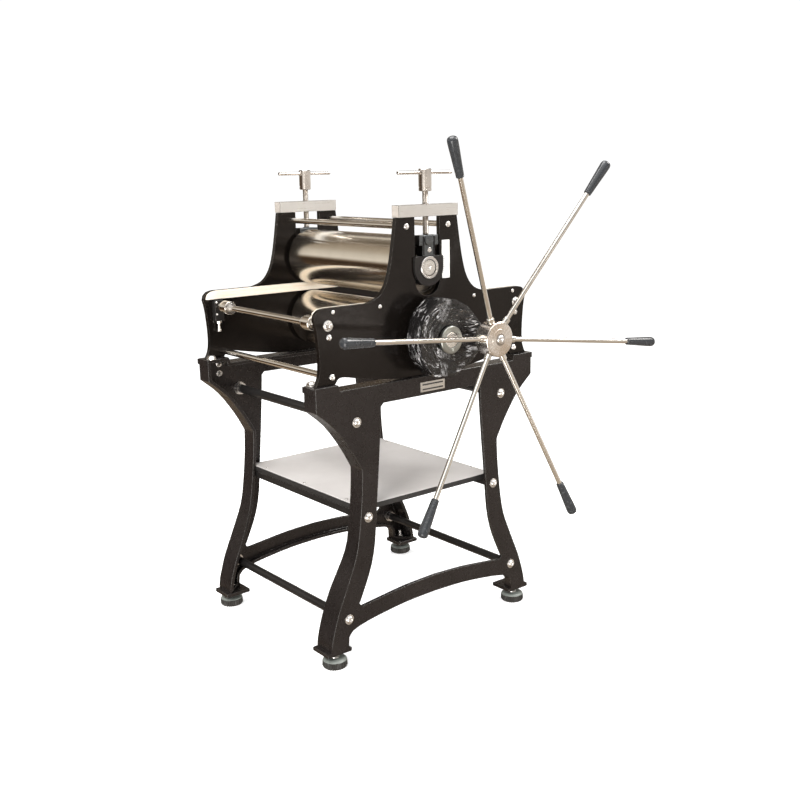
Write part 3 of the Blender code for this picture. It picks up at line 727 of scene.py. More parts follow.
def build_label():
    """A blank scale strip beside the slot and a blank badge on the rail: no lettering on either."""
    face = face_of("side_plate_near", -1)
    strip = Piece("scale_strip")
    strip.block((MX + SCALE_X[0], face - 0.0008, SCALE_Z[0]), (MX + SCALE_X[1], face + 0.0002, SCALE_Z[1]),
                "label", 0.0003)
    for step in range(SCALE_MARKS):
        long = 0.009 if step % 4 == 0 else 0.005
        x, z = MX + SCALE_X[0] + 0.0025, SCALE_Z[0] + 0.008 + step * 0.005
        strip.block((x, face - 0.00105, z - 0.0003), (x + long, face - 0.0007, z + 0.0003), "ink", 0)
    strip.done("frame", "plate_paint")
    rail = face_of("stand_side_near", -1)
    badge = Piece("blank_badge")
    badge.block((MX - BADGE_HALF, rail - 0.0016, BADGE_Z[0]), (MX + BADGE_HALF, rail + 0.0003, BADGE_Z[1]),
                "badge", 0.0005)
    reach = BADGE_HALF - 0.006
    for low, high in BADGE_BARS:
        badge.block((MX - reach, rail - 0.0019, low), (MX + reach, rail - 0.0012, high), "ink", 0.0002)
    badge.done("frame", "bright_screw")


def build_ties():
    for end, hand in ENDS:
        for node in (f"top_tie_rod_{end}", f"lower_tie_rod_{end}", f"bed_axle_{end}"):
            bar(node, "bright_rod", "rod")


WHEEL_BORE = 0.0084
COLLAR_START = 0.0162
COLLAR_LENGTH = 0.0085
BRACKET_NUT_TOP = 0.8213
BRACKET_SCREWS = (0.8400, 0.8720)
BRACKET_MIDDLE = 0.2485


def build_bed_supports():
    for word, side in SIDES:
        for end, hand in ENDS:
            node = f"bed_wheel_{word}_{end}"
            spot, r = middle(node), radius_of(node)
            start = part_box(node)[0].y - spot.y
            profile = [(start, WHEEL_BORE), (start, WHEEL_BORE + 0.0032),
                       (start + 0.0014, WHEEL_BORE + 0.0036), (start + 0.0014, r - 0.0034),
                       (start, r - 0.0030), (start, r - 0.0009), (start + 0.0009, r)]
            wheel = Piece(node + "_roller").turned(mirrored(profile), outward(1, *spot), "rod", 64, True)
            wheel.done(node, "bright_rod", node)
            build_bracket(word, side, end)
    collars = Piece("axle_collars")
    for word, side in SIDES:
        for end, hand in ENDS:
            spot = middle(f"bed_wheel_{word}_{end}")
            r = radius_of(f"bed_axle_{end}")
            for step in (-1, 1):
                start = spot.y + step * COLLAR_START
                reach = step * COLLAR_LENGTH
                ring = [(0, r + 0.0001), (0, r + 0.0052), (reach, r + 0.0052), (reach, r + 0.0001)]
                collars.turned(ring, outward(1, spot.x, start, spot.z), "zinc", 40, True)
                bolt_head(collars, upright(spot.x, start + reach / 2, spot.z + r + 0.0050), 0.0022, 0.0012)
    collars.done("frame", "bright_rod")


def bracket_faces(centre, normal):
    """The adjusting screw under the bracket is bright."""
    return "zinc" if centre.z < BRACKET_NUT_TOP else None


def build_bracket(word, side, end):
    node = f"axle_bracket_{word}_{end}"
    low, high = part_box(node)
    x = middle(node).x
    piece = Piece(node + "_cast").cad(node, "satin", 0.0010, 30, "edge", bracket_faces)
    place = upright(x, MY + side * BRACKET_MIDDLE, 0)
    top = BRACKET_NUT_TOP - 0.0001
    piece.turned([(top - 0.0072, 0.0041), (top - 0.0072, 0.0066), (top - 0.0062, 0.0070),
                  (top - 0.0010, 0.0070), (top, 0.0066), (top, 0.0041)], place, "zinc", 36, True,
                 hexed=(1, 2, 3, 4))
    piece.turned([(low.z + 0.0004, 0.0041), (low.z + 0.0004, 0.0056), (low.z + 0.0016, 0.0062),
                  (low.z + 0.0064, 0.0062), (low.z + 0.0072, 0.0056), (low.z + 0.0072, 0.0041)],
                 place, "zinc", 32, True)
    for level in BRACKET_SCREWS:
        if level < high.z - 0.004:
            bolt_head(piece, outward(-side, x - 0.0085, face_of(node, -side), level), 0.0027, 0.0016)
    piece.done("frame", "bracket", node)


# ---------------------------------------------------------------- rollers and bearings
ROLLER_HALF = 0.244
JOURNAL = 0.020
RING_RADIUS = 0.0290
FLANGE_BOLTS = 6
FLANGE_RADIUS = 0.0488
GUIDE_START = 0.0145


def build_rollers():
    for word in ("upper", "lower"):
        node = f"{word}_roller"
        low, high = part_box(node)
        r = (high.z - low.z) / 2
        start, stop = low.y - MY, high.y - MY
        end = [(start + 0.0042, 0), (start + 0.0036, 0.0024), (start, 0.0052), (start, JOURNAL - 0.0014),
               (start + 0.0014, JOURNAL), (-ROLLER_HALF - 0.0012, JOURNAL),
               (-ROLLER_HALF, JOURNAL + 0.0012), (-ROLLER_HALF, 0.029), (-ROLLER_HALF + 0.0022, 0.0312),
               (-ROLLER_HALF + 0.0022, r - 0.0135), (-ROLLER_HALF, r - 0.0115), (-ROLLER_HALF, r - 0.0012)]
        other = [(stop - 0.0042, 0), (stop - 0.0036, 0.0024), (stop, 0.0052), (stop, JOURNAL - 0.0014),
                 (stop - 0.0014, JOURNAL)] + [(-d, q) for d, q in end[5:]]
        place = outward(1, MX, MY, (low.z + high.z) / 2)
        piece = Piece(node + "_ground")
        for half in (end, other):
            piece.turned(half[:6], place, "journal", 128)
            # the barrel's end faces take the dark colour, painted shade
            piece.turned(half[5:], place, "roller_end_painted_shade", 128)
        barrel = [(-ROLLER_HALF, r - 0.0012), (-ROLLER_HALF + 0.0004, r - 0.0003),
                  (-ROLLER_HALF + 0.0012, r)]
        piece.turned(mirrored(barrel), place, "roller", 192)
        bmesh.ops.remove_doubles(piece.mesh, verts=piece.mesh.verts, dist=1e-6)
        piece.done(node, "chrome_roller", node)


def bearing_faces(side, face):
    """The proud ring round the journal is bright steel."""
    def choose(centre, normal):
        reach = math.hypot(centre.x - MX, centre.z - UPPER_Z)
        beyond = side * (centre.y - MY) > face + 0.0002
        return "ring" if beyond and reach < RING_RADIUS else None
    return choose


def build_bearings():
    for word, side in SIDES:
        node = f"upper_bearing_{word}"
        outer = abs(face_of(node, side) - MY)
        piece = Piece(node + "_housing")
        piece.cad(node, "satin", 0.0007, 32, "edge", bearing_faces(side, outer - 0.0022))
        place = outward(side, MX, MY + side * (outer - 0.0002), UPPER_Z)
        piece.turned([(0, 0.0206), (0, 0.0276), (0.0009, 0.0268), (0.0009, 0.0246), (0.0001, 0.0240),
                      (0.0001, 0.0226), (0.0007, 0.0220), (0.0007, 0.0206)], place, "ring", 72, True)
        piece.done("carriage", "bearing_housing", node)
        build_yoke(word, side)
        node = f"lower_bearing_{word}"
        flange = Piece(node + "_flange").cad(node, "satin", 0.0008, 30, "edge")
        for k in range(FLANGE_BOLTS):
            x, z = on_circle(FLANGE_RADIUS, TURN * (k + 0.5) / FLANGE_BOLTS, (MX, LOWER_Z))
            bolt_head(flange, outward(side, x, face_of(node, side), z), 0.0030, 0.0022)
        flange.done("frame", "bearing_housing", node)


def yoke_faces(centre, normal):
    """The two guides at the sides are dark; the middle is plain steel."""
    return "guide" if abs(centre.x - MX) > GUIDE_START else None


def build_yoke(word, side):
    node = f"yoke_{word}"
    low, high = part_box(node)
    piece = Piece(node + "_block").cad(node, "yoke", 0.0012, 30, None, yoke_faces)
    face = face_of(node, side)
    boss = outward(side, MX, face - side * 0.0004, high.z - 0.0125)
    piece.turned([(0, 0), (0, 0.0140), (0.0030, 0.0132), (0.0040, 0.0118), (0.0040, 0)], boss, "yoke", 48)
    piece.turned([(0, 0), (0, 0.0060), (0.0014, 0.0060), (0.0020, 0.0052), (0.0020, 0)],
                 outward(side, MX + 0.001, face, low.z + 0.0150), "zinc", 32)
    for hand in (-1, 1):
        piece.block((MX + hand * 0.0150, face - 0.0012, low.z + 0.003),
                    (MX + hand * 0.0190, face + 0.0012, high.z - 0.003), "guide", 0.0006)
    place = upright(MX, (low.y + high.y) / 2, high.z)
    piece.turned([(-0.0006, 0), (-0.0006, 0.0112), (0, 0.0112), (0, 0)], place, "thread", 36)
    piece.done("carriage", "yoke_steel", node)


SCREW_NECK = 1.161


def cap_faces(centre, normal):
    """The ends are rougher than the long faces, and coloured darker as painted shade."""
    return "cap_end_painted_shade" if abs(normal.x) > 0.9 else None


def build_pressure_screws():
    for word, side in SIDES:
        node = f"cap_block_{word}"
        # the rounded edges take the dark edge colour and the ends the darker end colour, both painted shade
        cap = Piece(node + "_machined").cad(node, "cap", 0.0018, 30, "cap_edge_painted_shade", cap_faces, segments=3)
        screw_y = middle(f"pressure_screw_{word}").y
        cap.turned([(-0.0006, 0.0082), (-0.0006, 0.0096), (0.0004, 0.0096), (0.0004, 0.0082)],
                   upright(MX, screw_y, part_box(node)[1].z), "screw", 48, True)
        cap.done("frame", "machined_cap", node)
        build_screw(word, screw_y)


def build_screw(word, y):
    node = f"pressure_screw_{word}"
    low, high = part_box(node)
    wide, neck = radius_of(node), SCREW_NECK
    place = upright(MX, y, 0)
    bar_node = f"tommy_bar_{word}"
    bar_z = middle(bar_node).z
    head = Piece(node + "_head")
    head.turned([(neck - 0.0005, 0), (neck - 0.0005, wide - 0.0030), (neck + 0.0012, wide - 0.0002),
                 (neck + 0.0080, wide - 0.0002), (neck + 0.0086, wide - 0.0012),
                 (neck + 0.0098, wide - 0.0012), (neck + 0.0104, wide), (bar_z - 0.0080, wide),
                 (bar_z - 0.0060, wide), (bar_z + 0.0060, wide), (high.z - 0.0018, wide),
                 (high.z - 0.0002, wide - 0.0018), (high.z - 0.0002, 0.0060), (high.z - 0.0012, 0.0050),
                 (high.z - 0.0012, 0)], place, "screw", 72)
    for out in (-1, 1):
        inner, outer = out * (wide - 0.0006), out * (wide + 0.0004)
        head.turned([(inner, 0.0050), (inner, 0.0068), (outer, 0.0062), (outer, 0.0050)],
                    along_x(MX, y, bar_z), "thread", 40, True)
    head.done(f"screw_{word}", "bright_screw", node)
    spindle = Piece(node + "_spindle")
    spindle.turned([(low.z, 0), (low.z, 0.0062), (low.z + 0.0022, 0.0074), (low.z + 0.0030, 0.0066),
                    (low.z + 0.0030, 0)], place, "thread", 32)
    spindle.thread(low.z + 0.0028, neck, 0.0078, 0.0030, 0.0012, place, "thread", 32)
    spindle.done(f"screw_{word}", "bright_screw")
    start = -radius_of(bar_node)
    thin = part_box(bar_node)[1].z - bar_z
    half = [(start, 0), (start, thin - 0.0012), (start + 0.0012, thin), (start + 0.0080, thin),
            (start + 0.0084, thin - 0.0005), (start + 0.0094, thin - 0.0005), (start + 0.0098, thin)]
    rod = Piece(bar_node + "_rod").turned(mirrored(half), along_x(MX, y, bar_z), "screw", 40)
    rod.done(f"screw_{word}", "bright_screw", bar_node)


# ---------------------------------------------------------------- gears, film and star wheel
HUB_HALF = 0.0225
HUB_RADIUS = 0.044
SPOKES = 6
FIRST_SPOKE = math.radians(-6.5)
SPOKE_LEAN = math.radians(9.0)
SPOKE_LENGTH = 0.5331
SPOKE_RADIUS = 0.0062
GRIP_SHARE = 0.818
HUB_X, HUB_Z = middle("wheel_hub").x, middle("wheel_hub").z
HUB_Y = face_of("wheel_hub", -1) + HUB_HALF
WASHER_FACE = -0.3495
WASHER_RADIUS = 0.036
WASHER_BOLTS = 3
WASHER_BOLT_RADIUS = 0.0268


def gear_faces(centre, normal):
    """The boss under the washer is bright."""
    reach = math.hypot(centre.x - MX, centre.z - LOWER_Z)
    return "disc" if centre.y - MY < WASHER_FACE and reach < WASHER_RADIUS else None


def build_gears():
    gear = Piece("drive_gear_cut").cad("drive_gear", "gear", 0.0004, 28, None, gear_faces, 1)
    front = face_of("drive_gear", -1)
    gear.turned([(0, 0.0202), (0, 0.0336), (0.0012, 0.0326), (0.0012, 0.0212), (0.0006, 0.0202)],
                outward(-1, MX, front, LOWER_Z), "disc", 72, True)
    for k in range(WASHER_BOLTS):
        x, z = on_circle(WASHER_BOLT_RADIUS, TURN * k / WASHER_BOLTS + 0.6, (MX, LOWER_Z))
        bolt_head(gear, outward(-1, x, front - 0.0012, z), 0.0032, 0.0018, "disc")
    gear.done("lower_roller", "gear_black", "drive_gear")
    pinion = Piece("pinion_shaft_cut").cad("pinion_shaft", "pinion", 0.0003, 28, segments=1)
    pinion.done("handwheel", "pinion_steel", "pinion_shaft")


FILM_FRONT = -0.3462
FILM_BACK = -0.2905
FILM_LEVELS = 15
FILM_GRID = 0.0022
PINION_CLEAR = 0.0262
WASHER_HOLE = 0.0325
BOSS_HOLE = 0.0216
# from the gear's axis to the pinion's
SPAN = Vector((HUB_X - MX, HUB_Z - LOWER_Z))
# where the film is tucked in behind the gear: share of the outline, and Y from the machine's middle
FILM_TUCKS = ((0.88, -0.2888), (0.76, -0.2896), (0.62, -0.2915))
# corners of the wrapping about the gear's axis: degrees and distance
FILM_CORNERS = ((-152, 0.093), (-116, 0.099), (-77, 0.0945), (-40, 0.100), (-22, 0.109))
FILM_CORNERS_ABOVE = ((16, 0.110), (50, 0.100), (77, 0.099), (102, 0.107), (128, 0.100), (150, 0.094),
                      (180, 0.092))


def film_outline(step=0.0028):
    """Film pulled from corner to corner round the big gear and round the pinion beside it."""
    corners = [on_circle(reach, math.radians(turn)) for turn, reach in FILM_CORNERS]
    corners += [SPAN + on_circle(PINION_CLEAR, math.radians(turn)) for turn in range(-80, 81, 16)]
    corners += [on_circle(reach, math.radians(turn)) for turn, reach in FILM_CORNERS_ABOVE]
    points = []
    for here, there in zip(corners, corners[1:] + corners[:1]):
        parts = max(1, round((there - here).length / step))
        points += [here.lerp(there, k / parts) for k in range(parts)]
    for _ in range(2):
        points = [(points[i - 1] + points[i] * 2 + points[(i + 1) % len(points)]) / 4
                  for i in range(len(points))]
    return points


def crest(x, y, z):
    """A sharp fold wherever a smooth field crosses zero."""
    return 1 - min(1.0, abs(noise.noise(Vector((x, y, z)))) * 3.0)


def front_lift(spot):
    """Folds run round the rim on the left and straight towards the pinion on the right."""
    turn = math.atan2(spot.y, spot.x)
    hoop = crest(spot.length * 95, turn * 1.5, 3.1) + 0.5 * crest(spot.length * 210, turn * 2.4, 9.4)
    pull = crest(spot.x * 14, (spot.y + spot.x * 0.14) * 100, 7.7)
    pull += 0.5 * crest(spot.x * 26, (spot.y - spot.x * 0.10) * 210, 1.9)
    share = min(1.0, max(0.0, (spot.x + 0.035) / 0.045))
    return 0.0021 * (hoop * (1 - share) + pull * share)


def inside(point, loop):
    """Whether a point lies within a closed loop."""
    hit = False
    for (x1, y1), (x2, y2) in zip(loop, loop[1:] + loop[:1]):
        if (y1 > point[1]) != (y2 > point[1]):
            if point[0] < (x2 - x1) * (point[1] - y1) / (y2 - y1) + x1:
                hit = not hit
    return hit


def film_rim(outline):
    """Rows of points from the back of the wrapping to its front edge."""
    count = len(outline)
    rows = []
    for level in range(FILM_LEVELS):
        t = level / (FILM_LEVELS - 1)
        row = []
        for i, spot in enumerate(outline):
            way = (outline[(i + 1) % count] - outline[i - 1]).normalized()
            turn = math.atan2(spot.y, spot.x)
            fold = crest(math.cos(turn) * 1.6, math.sin(turn) * 1.6, t * 5.5)
            fold += 0.5 * crest(math.cos(turn) * 4, math.sin(turn) * 4, t * 11)
            push = 0.0016 * fold * math.sin(math.pi * min(1, t * 1.1)) - 0.0030 * (1 - t)
            row.append((MX + spot.x + way.y * push, MY + FILM_BACK + (FILM_FRONT - FILM_BACK) * t,
                        LOWER_Z + spot.y - way.x * push))
        rows.append(row)
    return rows


def film_grid(front):
    """Staggered points inside the front edge, clear of it and of the two holes."""
    loop = [(v.x, v.y) for v in front]
    low_x, high_x = min(v.x for v in front), max(v.x for v in front)
    low_z, high_z = min(v.y for v in front), max(v.y for v in front)
    margin = FILM_GRID * 0.6
    kept = []
    shifted = False
    z = low_z
    while z < high_z:
        x = low_x + (FILM_GRID / 2 if shifted else 0)
        while x < high_x:
            spot = Vector((x, z))
            if (min((spot - v).length for v in front) > margin and inside(spot, loop)
                    and spot.length > WASHER_HOLE + margin and (spot - SPAN).length > BOSS_HOLE + margin):
                kept.append(spot)
            x += FILM_GRID
        z += FILM_GRID * 0.866
        shifted = not shifted
    return kept


def film_front(front, base):
    """The front face, with holes for the washer and the hub's boss."""
    count = len(front)
    flat = list(front)
    edges = [(i, (i + 1) % count) for i in range(count)]
    for radius, corners, centre in ((WASHER_HOLE, 48, (0, 0)), (BOSS_HOLE, 32, SPAN)):
        first = len(flat)
        flat += [Vector(centre) + on_circle(radius, TURN * k / corners) for k in range(corners)]
        edges += [(first + k, first + (k + 1) % corners) for k in range(corners)]
    spots, _, triangles = delaunay_2d_cdt(flat + film_grid(front), edges, [], 0, 1e-7)[:3]
    points = []
    for v in spots:
        ring = min(1.0, min((v - w).length for w in front) / 0.006)
        gather = max(0.0, 1 - ((v - SPAN).length - BOSS_HOLE) / 0.030)
        lift = ring * front_lift(v) + 0.0050 * gather ** 2
        lift *= min(1.0, 0.25 + max(0.0, v.length - WASHER_HOLE) / 0.008)
        points.append((MX + v.x, MY + FILM_FRONT - min(lift, 0.0075), LOWER_Z + v.y))
    loop = [(v.x, v.y) for v in front]
    faces = []
    for face in triangles:
        spot = sum((spots[i] for i in face), Vector((0, 0))) / len(face)
        if spot.length >= WASHER_HOLE and (spot - SPAN).length >= BOSS_HOLE and inside(spot, loop):
            faces.append(tuple(base + i for i in face))
    return points, faces


def build_film():
    """Film drawn over both gears, open round the washer and the hub's boss, tucked in behind."""
    outline = film_outline()
    count = len(outline)

    def band(a, b):
        """The faces between two rows of points that start at a and b."""
        return [(a + i, a + (i + 1) % count, b + (i + 1) % count, b + i) for i in range(count)]

    rows = film_rim(outline)
    points = [p for row in rows for p in row]
    faces = [f for level in range(FILM_LEVELS - 1) for f in band(level * count, (level + 1) * count)]
    front = [Vector((p[0] - MX, p[2] - LOWER_Z)) for p in rows[-1]]
    more_points, more_faces = film_front(front, len(points))
    points += more_points
    faces += more_faces
    last = 0
    for shrink, y in FILM_TUCKS:
        start = len(points)
        for spot in outline:
            fold = 0.0014 * crest(spot.x * 90, spot.y * 90, shrink * 9)
            points.append((MX + spot.x * shrink, MY + y - fold, LOWER_Z + spot.y * shrink))
        faces += band(start, last)
        last = start
    piece = Piece("gear_stretch_film").sheet(points, faces, "film")
    bmesh.ops.remove_doubles(piece.mesh, verts=piece.mesh.verts, dist=1e-5)
    made = piece.done("frame", "black_grip", angle=60, weighted=False)
    thick = made.modifiers.new("thickness", "SOLIDIFY")
    thick.thickness = 0.00035
    thick.offset = 0.0


def spoke_frame(number):
    turn = FIRST_SPOKE + TURN * number / SPOKES
    return (upright(HUB_X, HUB_Y, HUB_Z) @ Matrix.Rotation(-turn, 4, "Y")
            @ Matrix.Rotation(math.pi / 2, 4, "Y") @ Matrix.Rotation(SPOKE_LEAN, 4, "X"))


def build_star_wheel():
    """The hub, its centre bolt and two grub screws, then the spokes with their grips."""
    back = face_of("wheel_hub", 1) - HUB_Y
    hub = Piece("wheel_hub_turned")
    r = HUB_RADIUS
    hub.turned([(-0.0225, 0.0150), (-0.0225, 0.0260), (-0.0221, 0.0264), (-0.0221, 0.0400),
                (-0.0218, 0.0416), (-0.0200, r - 0.0004), (-0.0190, r), (0.0205, r), (0.0225, r - 0.002),
                (0.0225, 0.0215), (0.0235, 0.0197), (back - 0.0012, 0.0195), (back, 0.0183), (back, 0.0129)],
               outward(1, HUB_X, HUB_Y, HUB_Z), "hub", 128, True)
    hub.done("handwheel", "hub_steel", "wheel_hub")
    cap = Piece("wheel_centre_bolt")
    place = outward(-1, HUB_X, HUB_Y - 0.0206, HUB_Z)
    cap.turned([(0, 0), (0, 0.0146), (0.0018, 0.0146), (0.0022, 0.0140), (0.0022, 0)], place, "thread", 64)
    cap.turned([(0.0020, 0), (0.0020, 0.0112), (0.0046, 0.0112), (0.0066, 0.0098), (0.0078, 0.0070),
                (0.0082, 0.0044), (0.0080, 0.0034), (0.0052, 0.0034), (0.0046, 0)], place, "zinc", 60,
               hexed=(6, 7))
    for turn in (0.0, math.pi / 2):
        spot = upright(HUB_X, HUB_Y + 0.0400, HUB_Z) @ Matrix.Rotation(turn, 4, "Y")
        bolt_head(cap, spot @ upright(0, 0, 0.0190), 0.0036, 0.0016)
    cap.done("handwheel", "bright_screw")
    start, end = SPOKE_LENGTH * GRIP_SHARE, SPOKE_LENGTH
    for k in range(SPOKES):
        place = spoke_frame(k)
        rod = Piece(f"spoke_{k + 1}_rod")
        rod.turned([(0.0405, 0), (0.0405, 0.0050), (0.0466, 0.0050), (0.0466, 0)], place, "thread", 32)
        rod.turned([(0.0462, 0), (0.0462, 0.0084), (0.0470, 0.0092), (0.0588, 0.0092), (0.0600, 0.0086),
                    (0.0606, SPOKE_RADIUS), (start - 0.0002, SPOKE_RADIUS), (start - 0.0002, 0)],
                   place, "spoke", 40)
        rod.done("handwheel", "bright_rod", f"spoke_{k + 1}")
        grip = Piece(f"grip_{k + 1}_handle")
        grip.turned([(start, 0), (start, 0.0084), (start + 0.0010, 0.0095), (start + 0.0034, 0.0097),
                     (start + 0.0040, 0.0092), (start + 0.0050, 0.0092), (start + 0.0058, 0.0098),
                     (start + 0.0200, 0.0103), (start + 0.0450, 0.0114), (end - 0.0240, 0.0126),
                     (end - 0.0120, 0.0129), (end - 0.0068, 0.0124), (end - 0.0034, 0.0108),
                     (end - 0.0010, 0.0072), (end, 0.0030), (end, 0)], place, "grip", 56)
        grip.done("handwheel", "black_grip", f"grip_{k + 1}")


# ---------------------------------------------------------------- studio
def stage_material(name, colour, strength=0.0):
    made = bpy.data.materials.new(name)
    made.use_nodes = True
    shader = made.node_tree.nodes["Principled BSDF"]
    shader.inputs["Base Color"].default_value = (*colour, 1)
    shader.inputs["Roughness"].default_value = 0.9
    shader.inputs["Specular IOR Level"].default_value = 0.1
    if strength:
        shader.inputs["Emission Color"].default_value = (*colour, 1)
        shader.inputs["Emission Strength"].default_value = strength
    return made


def hidden(made, *rays):
    """Part of the studio, and not seen by some kinds of ray."""
    for ray in rays:
        setattr(made, "visible_" + ray, False)


def build_floor():
    bpy.ops.mesh.primitive_plane_add(size=60, location=(0, 0, 0))
    floor = bpy.context.object
    floor.name = "studio_floor"
    floor.data.materials.append(stage_material("floor_white", (0.92, 0.92, 0.92), 0.56))
    hidden(floor, "glossy")


ROOM_RADIUS = 9.0
# what bright metal reflects: behind the machine by the angle about Y, in front of it by height
BEHIND = ((0.00, (0.035, 0.021, 0.012)), (0.075, (0.085, 0.050, 0.027)), (0.140, (0.30, 0.21, 0.135)),
          (0.155, (0.80, 0.70, 0.55)), (0.175, (0.36, 0.27, 0.18)), (0.33, (0.30, 0.22, 0.145)),
          (0.42, (0.62, 0.55, 0.46)), (0.49, (0.95, 0.93, 0.89)), (0.528, (0.80, 0.74, 0.66)),
          (0.550, (0.16, 0.12, 0.085)), (0.655, (0.07, 0.05, 0.033)), (0.680, (0.80, 0.74, 0.64)),
          (0.700, (0.16, 0.125, 0.085)), (0.765, (0.11, 0.085, 0.057)), (0.805, (0.28, 0.23, 0.17)),
          (0.860, (0.42, 0.365, 0.29)), (0.905, (0.60, 0.555, 0.485)), (0.958, (0.76, 0.71, 0.63)),
          (0.985, (0.14, 0.095, 0.06)), (1.00, (0.035, 0.021, 0.012)))
IN_FRONT = ((0.00, (0.40, 0.32, 0.24)), (0.30, (0.50, 0.42, 0.34)), (0.41, (0.56, 0.48, 0.40)),
            (0.450, (0.72, 0.65, 0.57)), (0.500, (0.74, 0.68, 0.62)), (0.560, (0.70, 0.65, 0.60)),
            (0.605, (0.22, 0.20, 0.18)), (0.72, (0.34, 0.32, 0.30)), (0.88, (1.9, 1.87, 1.84)),
            (1.0, (1.8, 1.8, 1.8)))


def build_surround():
    """A room that only shows in reflections."""
    bpy.ops.mesh.primitive_uv_sphere_add(segments=48, ring_count=24, radius=ROOM_RADIUS,
                                         location=(0, 0, 0.8))
    dome = bpy.context.object
    dome.name = "reflected_room"
    made = bpy.data.materials.new("reflected_room")
    made.use_nodes = True
    tree = made.node_tree
    tree.nodes.clear()
    new, link = tree.nodes.new, tree.links.new
    split = new("ShaderNodeSeparateXYZ")
    link(new("ShaderNodeTexCoord").outputs["Object"], split.inputs[0])
    turn = new("ShaderNodeMath")
    turn.operation = "ARCTAN2"
    link(split.outputs["Z"], turn.inputs[0])
    link(split.outputs["X"], turn.inputs[1])

    def share(value, limit):
        """0 at -limit, 1 at +limit."""
        made = new("ShaderNodeMapRange")
        made.inputs["From Min"].default_value = -limit
        made.inputs["From Max"].default_value = limit
        link(value, made.inputs["Value"])
        return made.outputs[0]

    def ramp(value, limit, stops):
        made = new("ShaderNodeValToRGB")
        while len(made.color_ramp.elements) < len(stops):
            made.color_ramp.elements.new(0.5)
        for element, (position, colour) in zip(made.color_ramp.elements, stops):
            element.position = position
            element.color = (*colour, 1)
        link(share(value, limit), made.inputs[0])
        return made.outputs[0]

    both = new("ShaderNodeMix")
    both.data_type = "RGBA"
    link(share(split.outputs["Y"], 1.2), both.inputs[0])
    link(ramp(split.outputs["Z"], ROOM_RADIUS, IN_FRONT), both.inputs[6])
    link(ramp(turn.outputs[0], math.pi, BEHIND), both.inputs[7])
    light = new("ShaderNodeEmission")
    link(both.outputs[2], light.inputs["Color"])
    link(light.outputs[0], new("ShaderNodeOutputMaterial").inputs["Surface"])
    dome.data.materials.append(made)
    hidden(dome, "camera", "diffuse", "transmission", "volume_scatter", "shadow")


def towards(place, target):
    """The turn that points local -Z from a place at a target."""
    return (Vector(target) - Vector(place)).to_track_quat("-Z", "Y").to_euler()


def softbox(name, place, target, size, power, colour=(1, 1, 1), shows=True):
    """An area light; it may be left out of reflections."""
    data = bpy.data.lights.new(name, "AREA")
    data.shape = "RECTANGLE"
    data.size, data.size_y = size
    data.energy = power
    data.color = colour
    made = bpy.data.objects.new(name, data)
    made.location = place
    made.rotation_euler = towards(place, target)
    made.visible_glossy = shows
    bpy.context.scene.collection.objects.link(made)


def reflected_card(name, place, target, size, strength):
    """A bright panel that only shows in reflections."""
    bpy.ops.mesh.primitive_plane_add(size=1, location=place)
    card = bpy.context.object
    card.name = name
    card.scale = (*size, 1)
    card.rotation_euler = towards(place, target)
    card.data.materials.append(stage_material(name, (1.0, 0.97, 0.93), strength))
    hidden(card, "camera", "diffuse", "shadow")


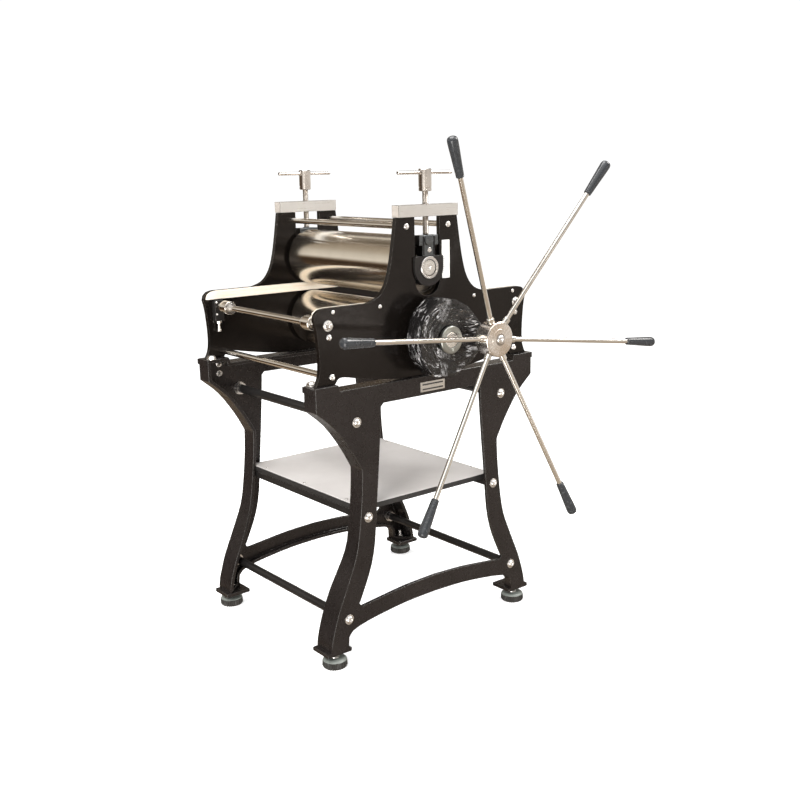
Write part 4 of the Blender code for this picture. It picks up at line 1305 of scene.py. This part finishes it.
def build_lights():
    softbox("key_left", (-3.0, -1.4, 2.9), (0, 0, 0.7), (1.5, 1.5), 150, (1.0, 0.985, 0.96), False)
    softbox("front_right", (2.4, -3.2, 2.1), (0, 0, 0.7), (1.6, 2.2), 60, (1.0, 0.99, 0.975), False)
    softbox("overhead", (-0.2, 0.4, 3.4), (0, 0, 0.6), (2.0, 1.6), 70)
    softbox("back_rim", (-1.5, 3.5, 2.1), (0, 0, 0.8), (2.0, 1.4), 50, shows=False)
    softbox("low_left", (-2.9, -1.2, 0.35), (0, 0, 0.5), (0.5, 1.2), 5, (1.0, 0.99, 0.98))
    reflected_card("edge_card_left", (-2.74, -2.05, -0.35), (-0.4, -0.18, 0.35), (1.3, 2.4), 6)
    reflected_card("edge_card_high", (1.80, -1.15, 2.75), (-0.1, -0.2, 0.4), (1.3, 1.1), 13)
    reflected_card("sheen_card", (MX + 1.55, MY - 2.90, 0.45), (MX - 0.2, MY - 0.27, 0.86), (0.40, 0.11), 2.2)
    world = bpy.data.worlds.new("white_surround")
    bpy.context.scene.world = world
    world.use_nodes = True
    nodes, links = world.node_tree.nodes, world.node_tree.links
    back = nodes["Background"]
    back.inputs["Color"].default_value = (1.0, 1.0, 1.0, 1)
    seen = nodes.new("ShaderNodeLightPath")
    level = nodes.new("ShaderNodeMapRange")
    level.inputs["To Min"].default_value = 0.6
    level.inputs["To Max"].default_value = 1.05
    links.new(seen.outputs["Is Camera Ray"], level.inputs["Value"])
    links.new(level.outputs[0], back.inputs["Strength"])


CAMERA_TURN = (39.3614, -12.9105, -0.9237)
CAMERA_PLACE = Vector((-1.6656, -2.2445, 1.2191))
CAMERA_LENS = 46.661
CAMERA_SHIFT = (-0.01969, 0.00554)


def build_camera():
    """The photograph's viewpoint; its place is measured from the middle of the machine."""
    yaw, pitch, roll = (math.radians(a) for a in CAMERA_TURN)
    ahead = Vector((math.sin(yaw) * math.cos(pitch), math.cos(yaw) * math.cos(pitch), math.sin(pitch)))
    right = Vector((math.cos(yaw), -math.sin(yaw), 0))
    up = right.cross(ahead)
    right_rolled = right * math.cos(roll) + up * math.sin(roll)
    up_rolled = up * math.cos(roll) - right * math.sin(roll)
    turn = Matrix((right_rolled, up_rolled, -ahead)).transposed()
    data = bpy.data.cameras.new("camera")
    data.sensor_width = 36
    data.lens = CAMERA_LENS
    data.shift_x, data.shift_y = CAMERA_SHIFT
    data.clip_start, data.clip_end = 0.05, 100
    made = bpy.data.objects.new("camera", data)
    made.matrix_world = Matrix.Translation(CAMERA_PLACE + Vector((MX, MY, 0))) @ turn.to_4x4()
    bpy.context.scene.collection.objects.link(made)
    bpy.context.scene.camera = made
    bpy.context.scene.view_settings.view_transform = "Standard"


for build in (build_camera, build_floor, build_surround, build_lights, build_stand, build_side_plates,
              build_ties, build_bed_supports, build_rollers, build_bearings, build_pressure_screws,
              build_gears, build_film, build_star_wheel):
    build()
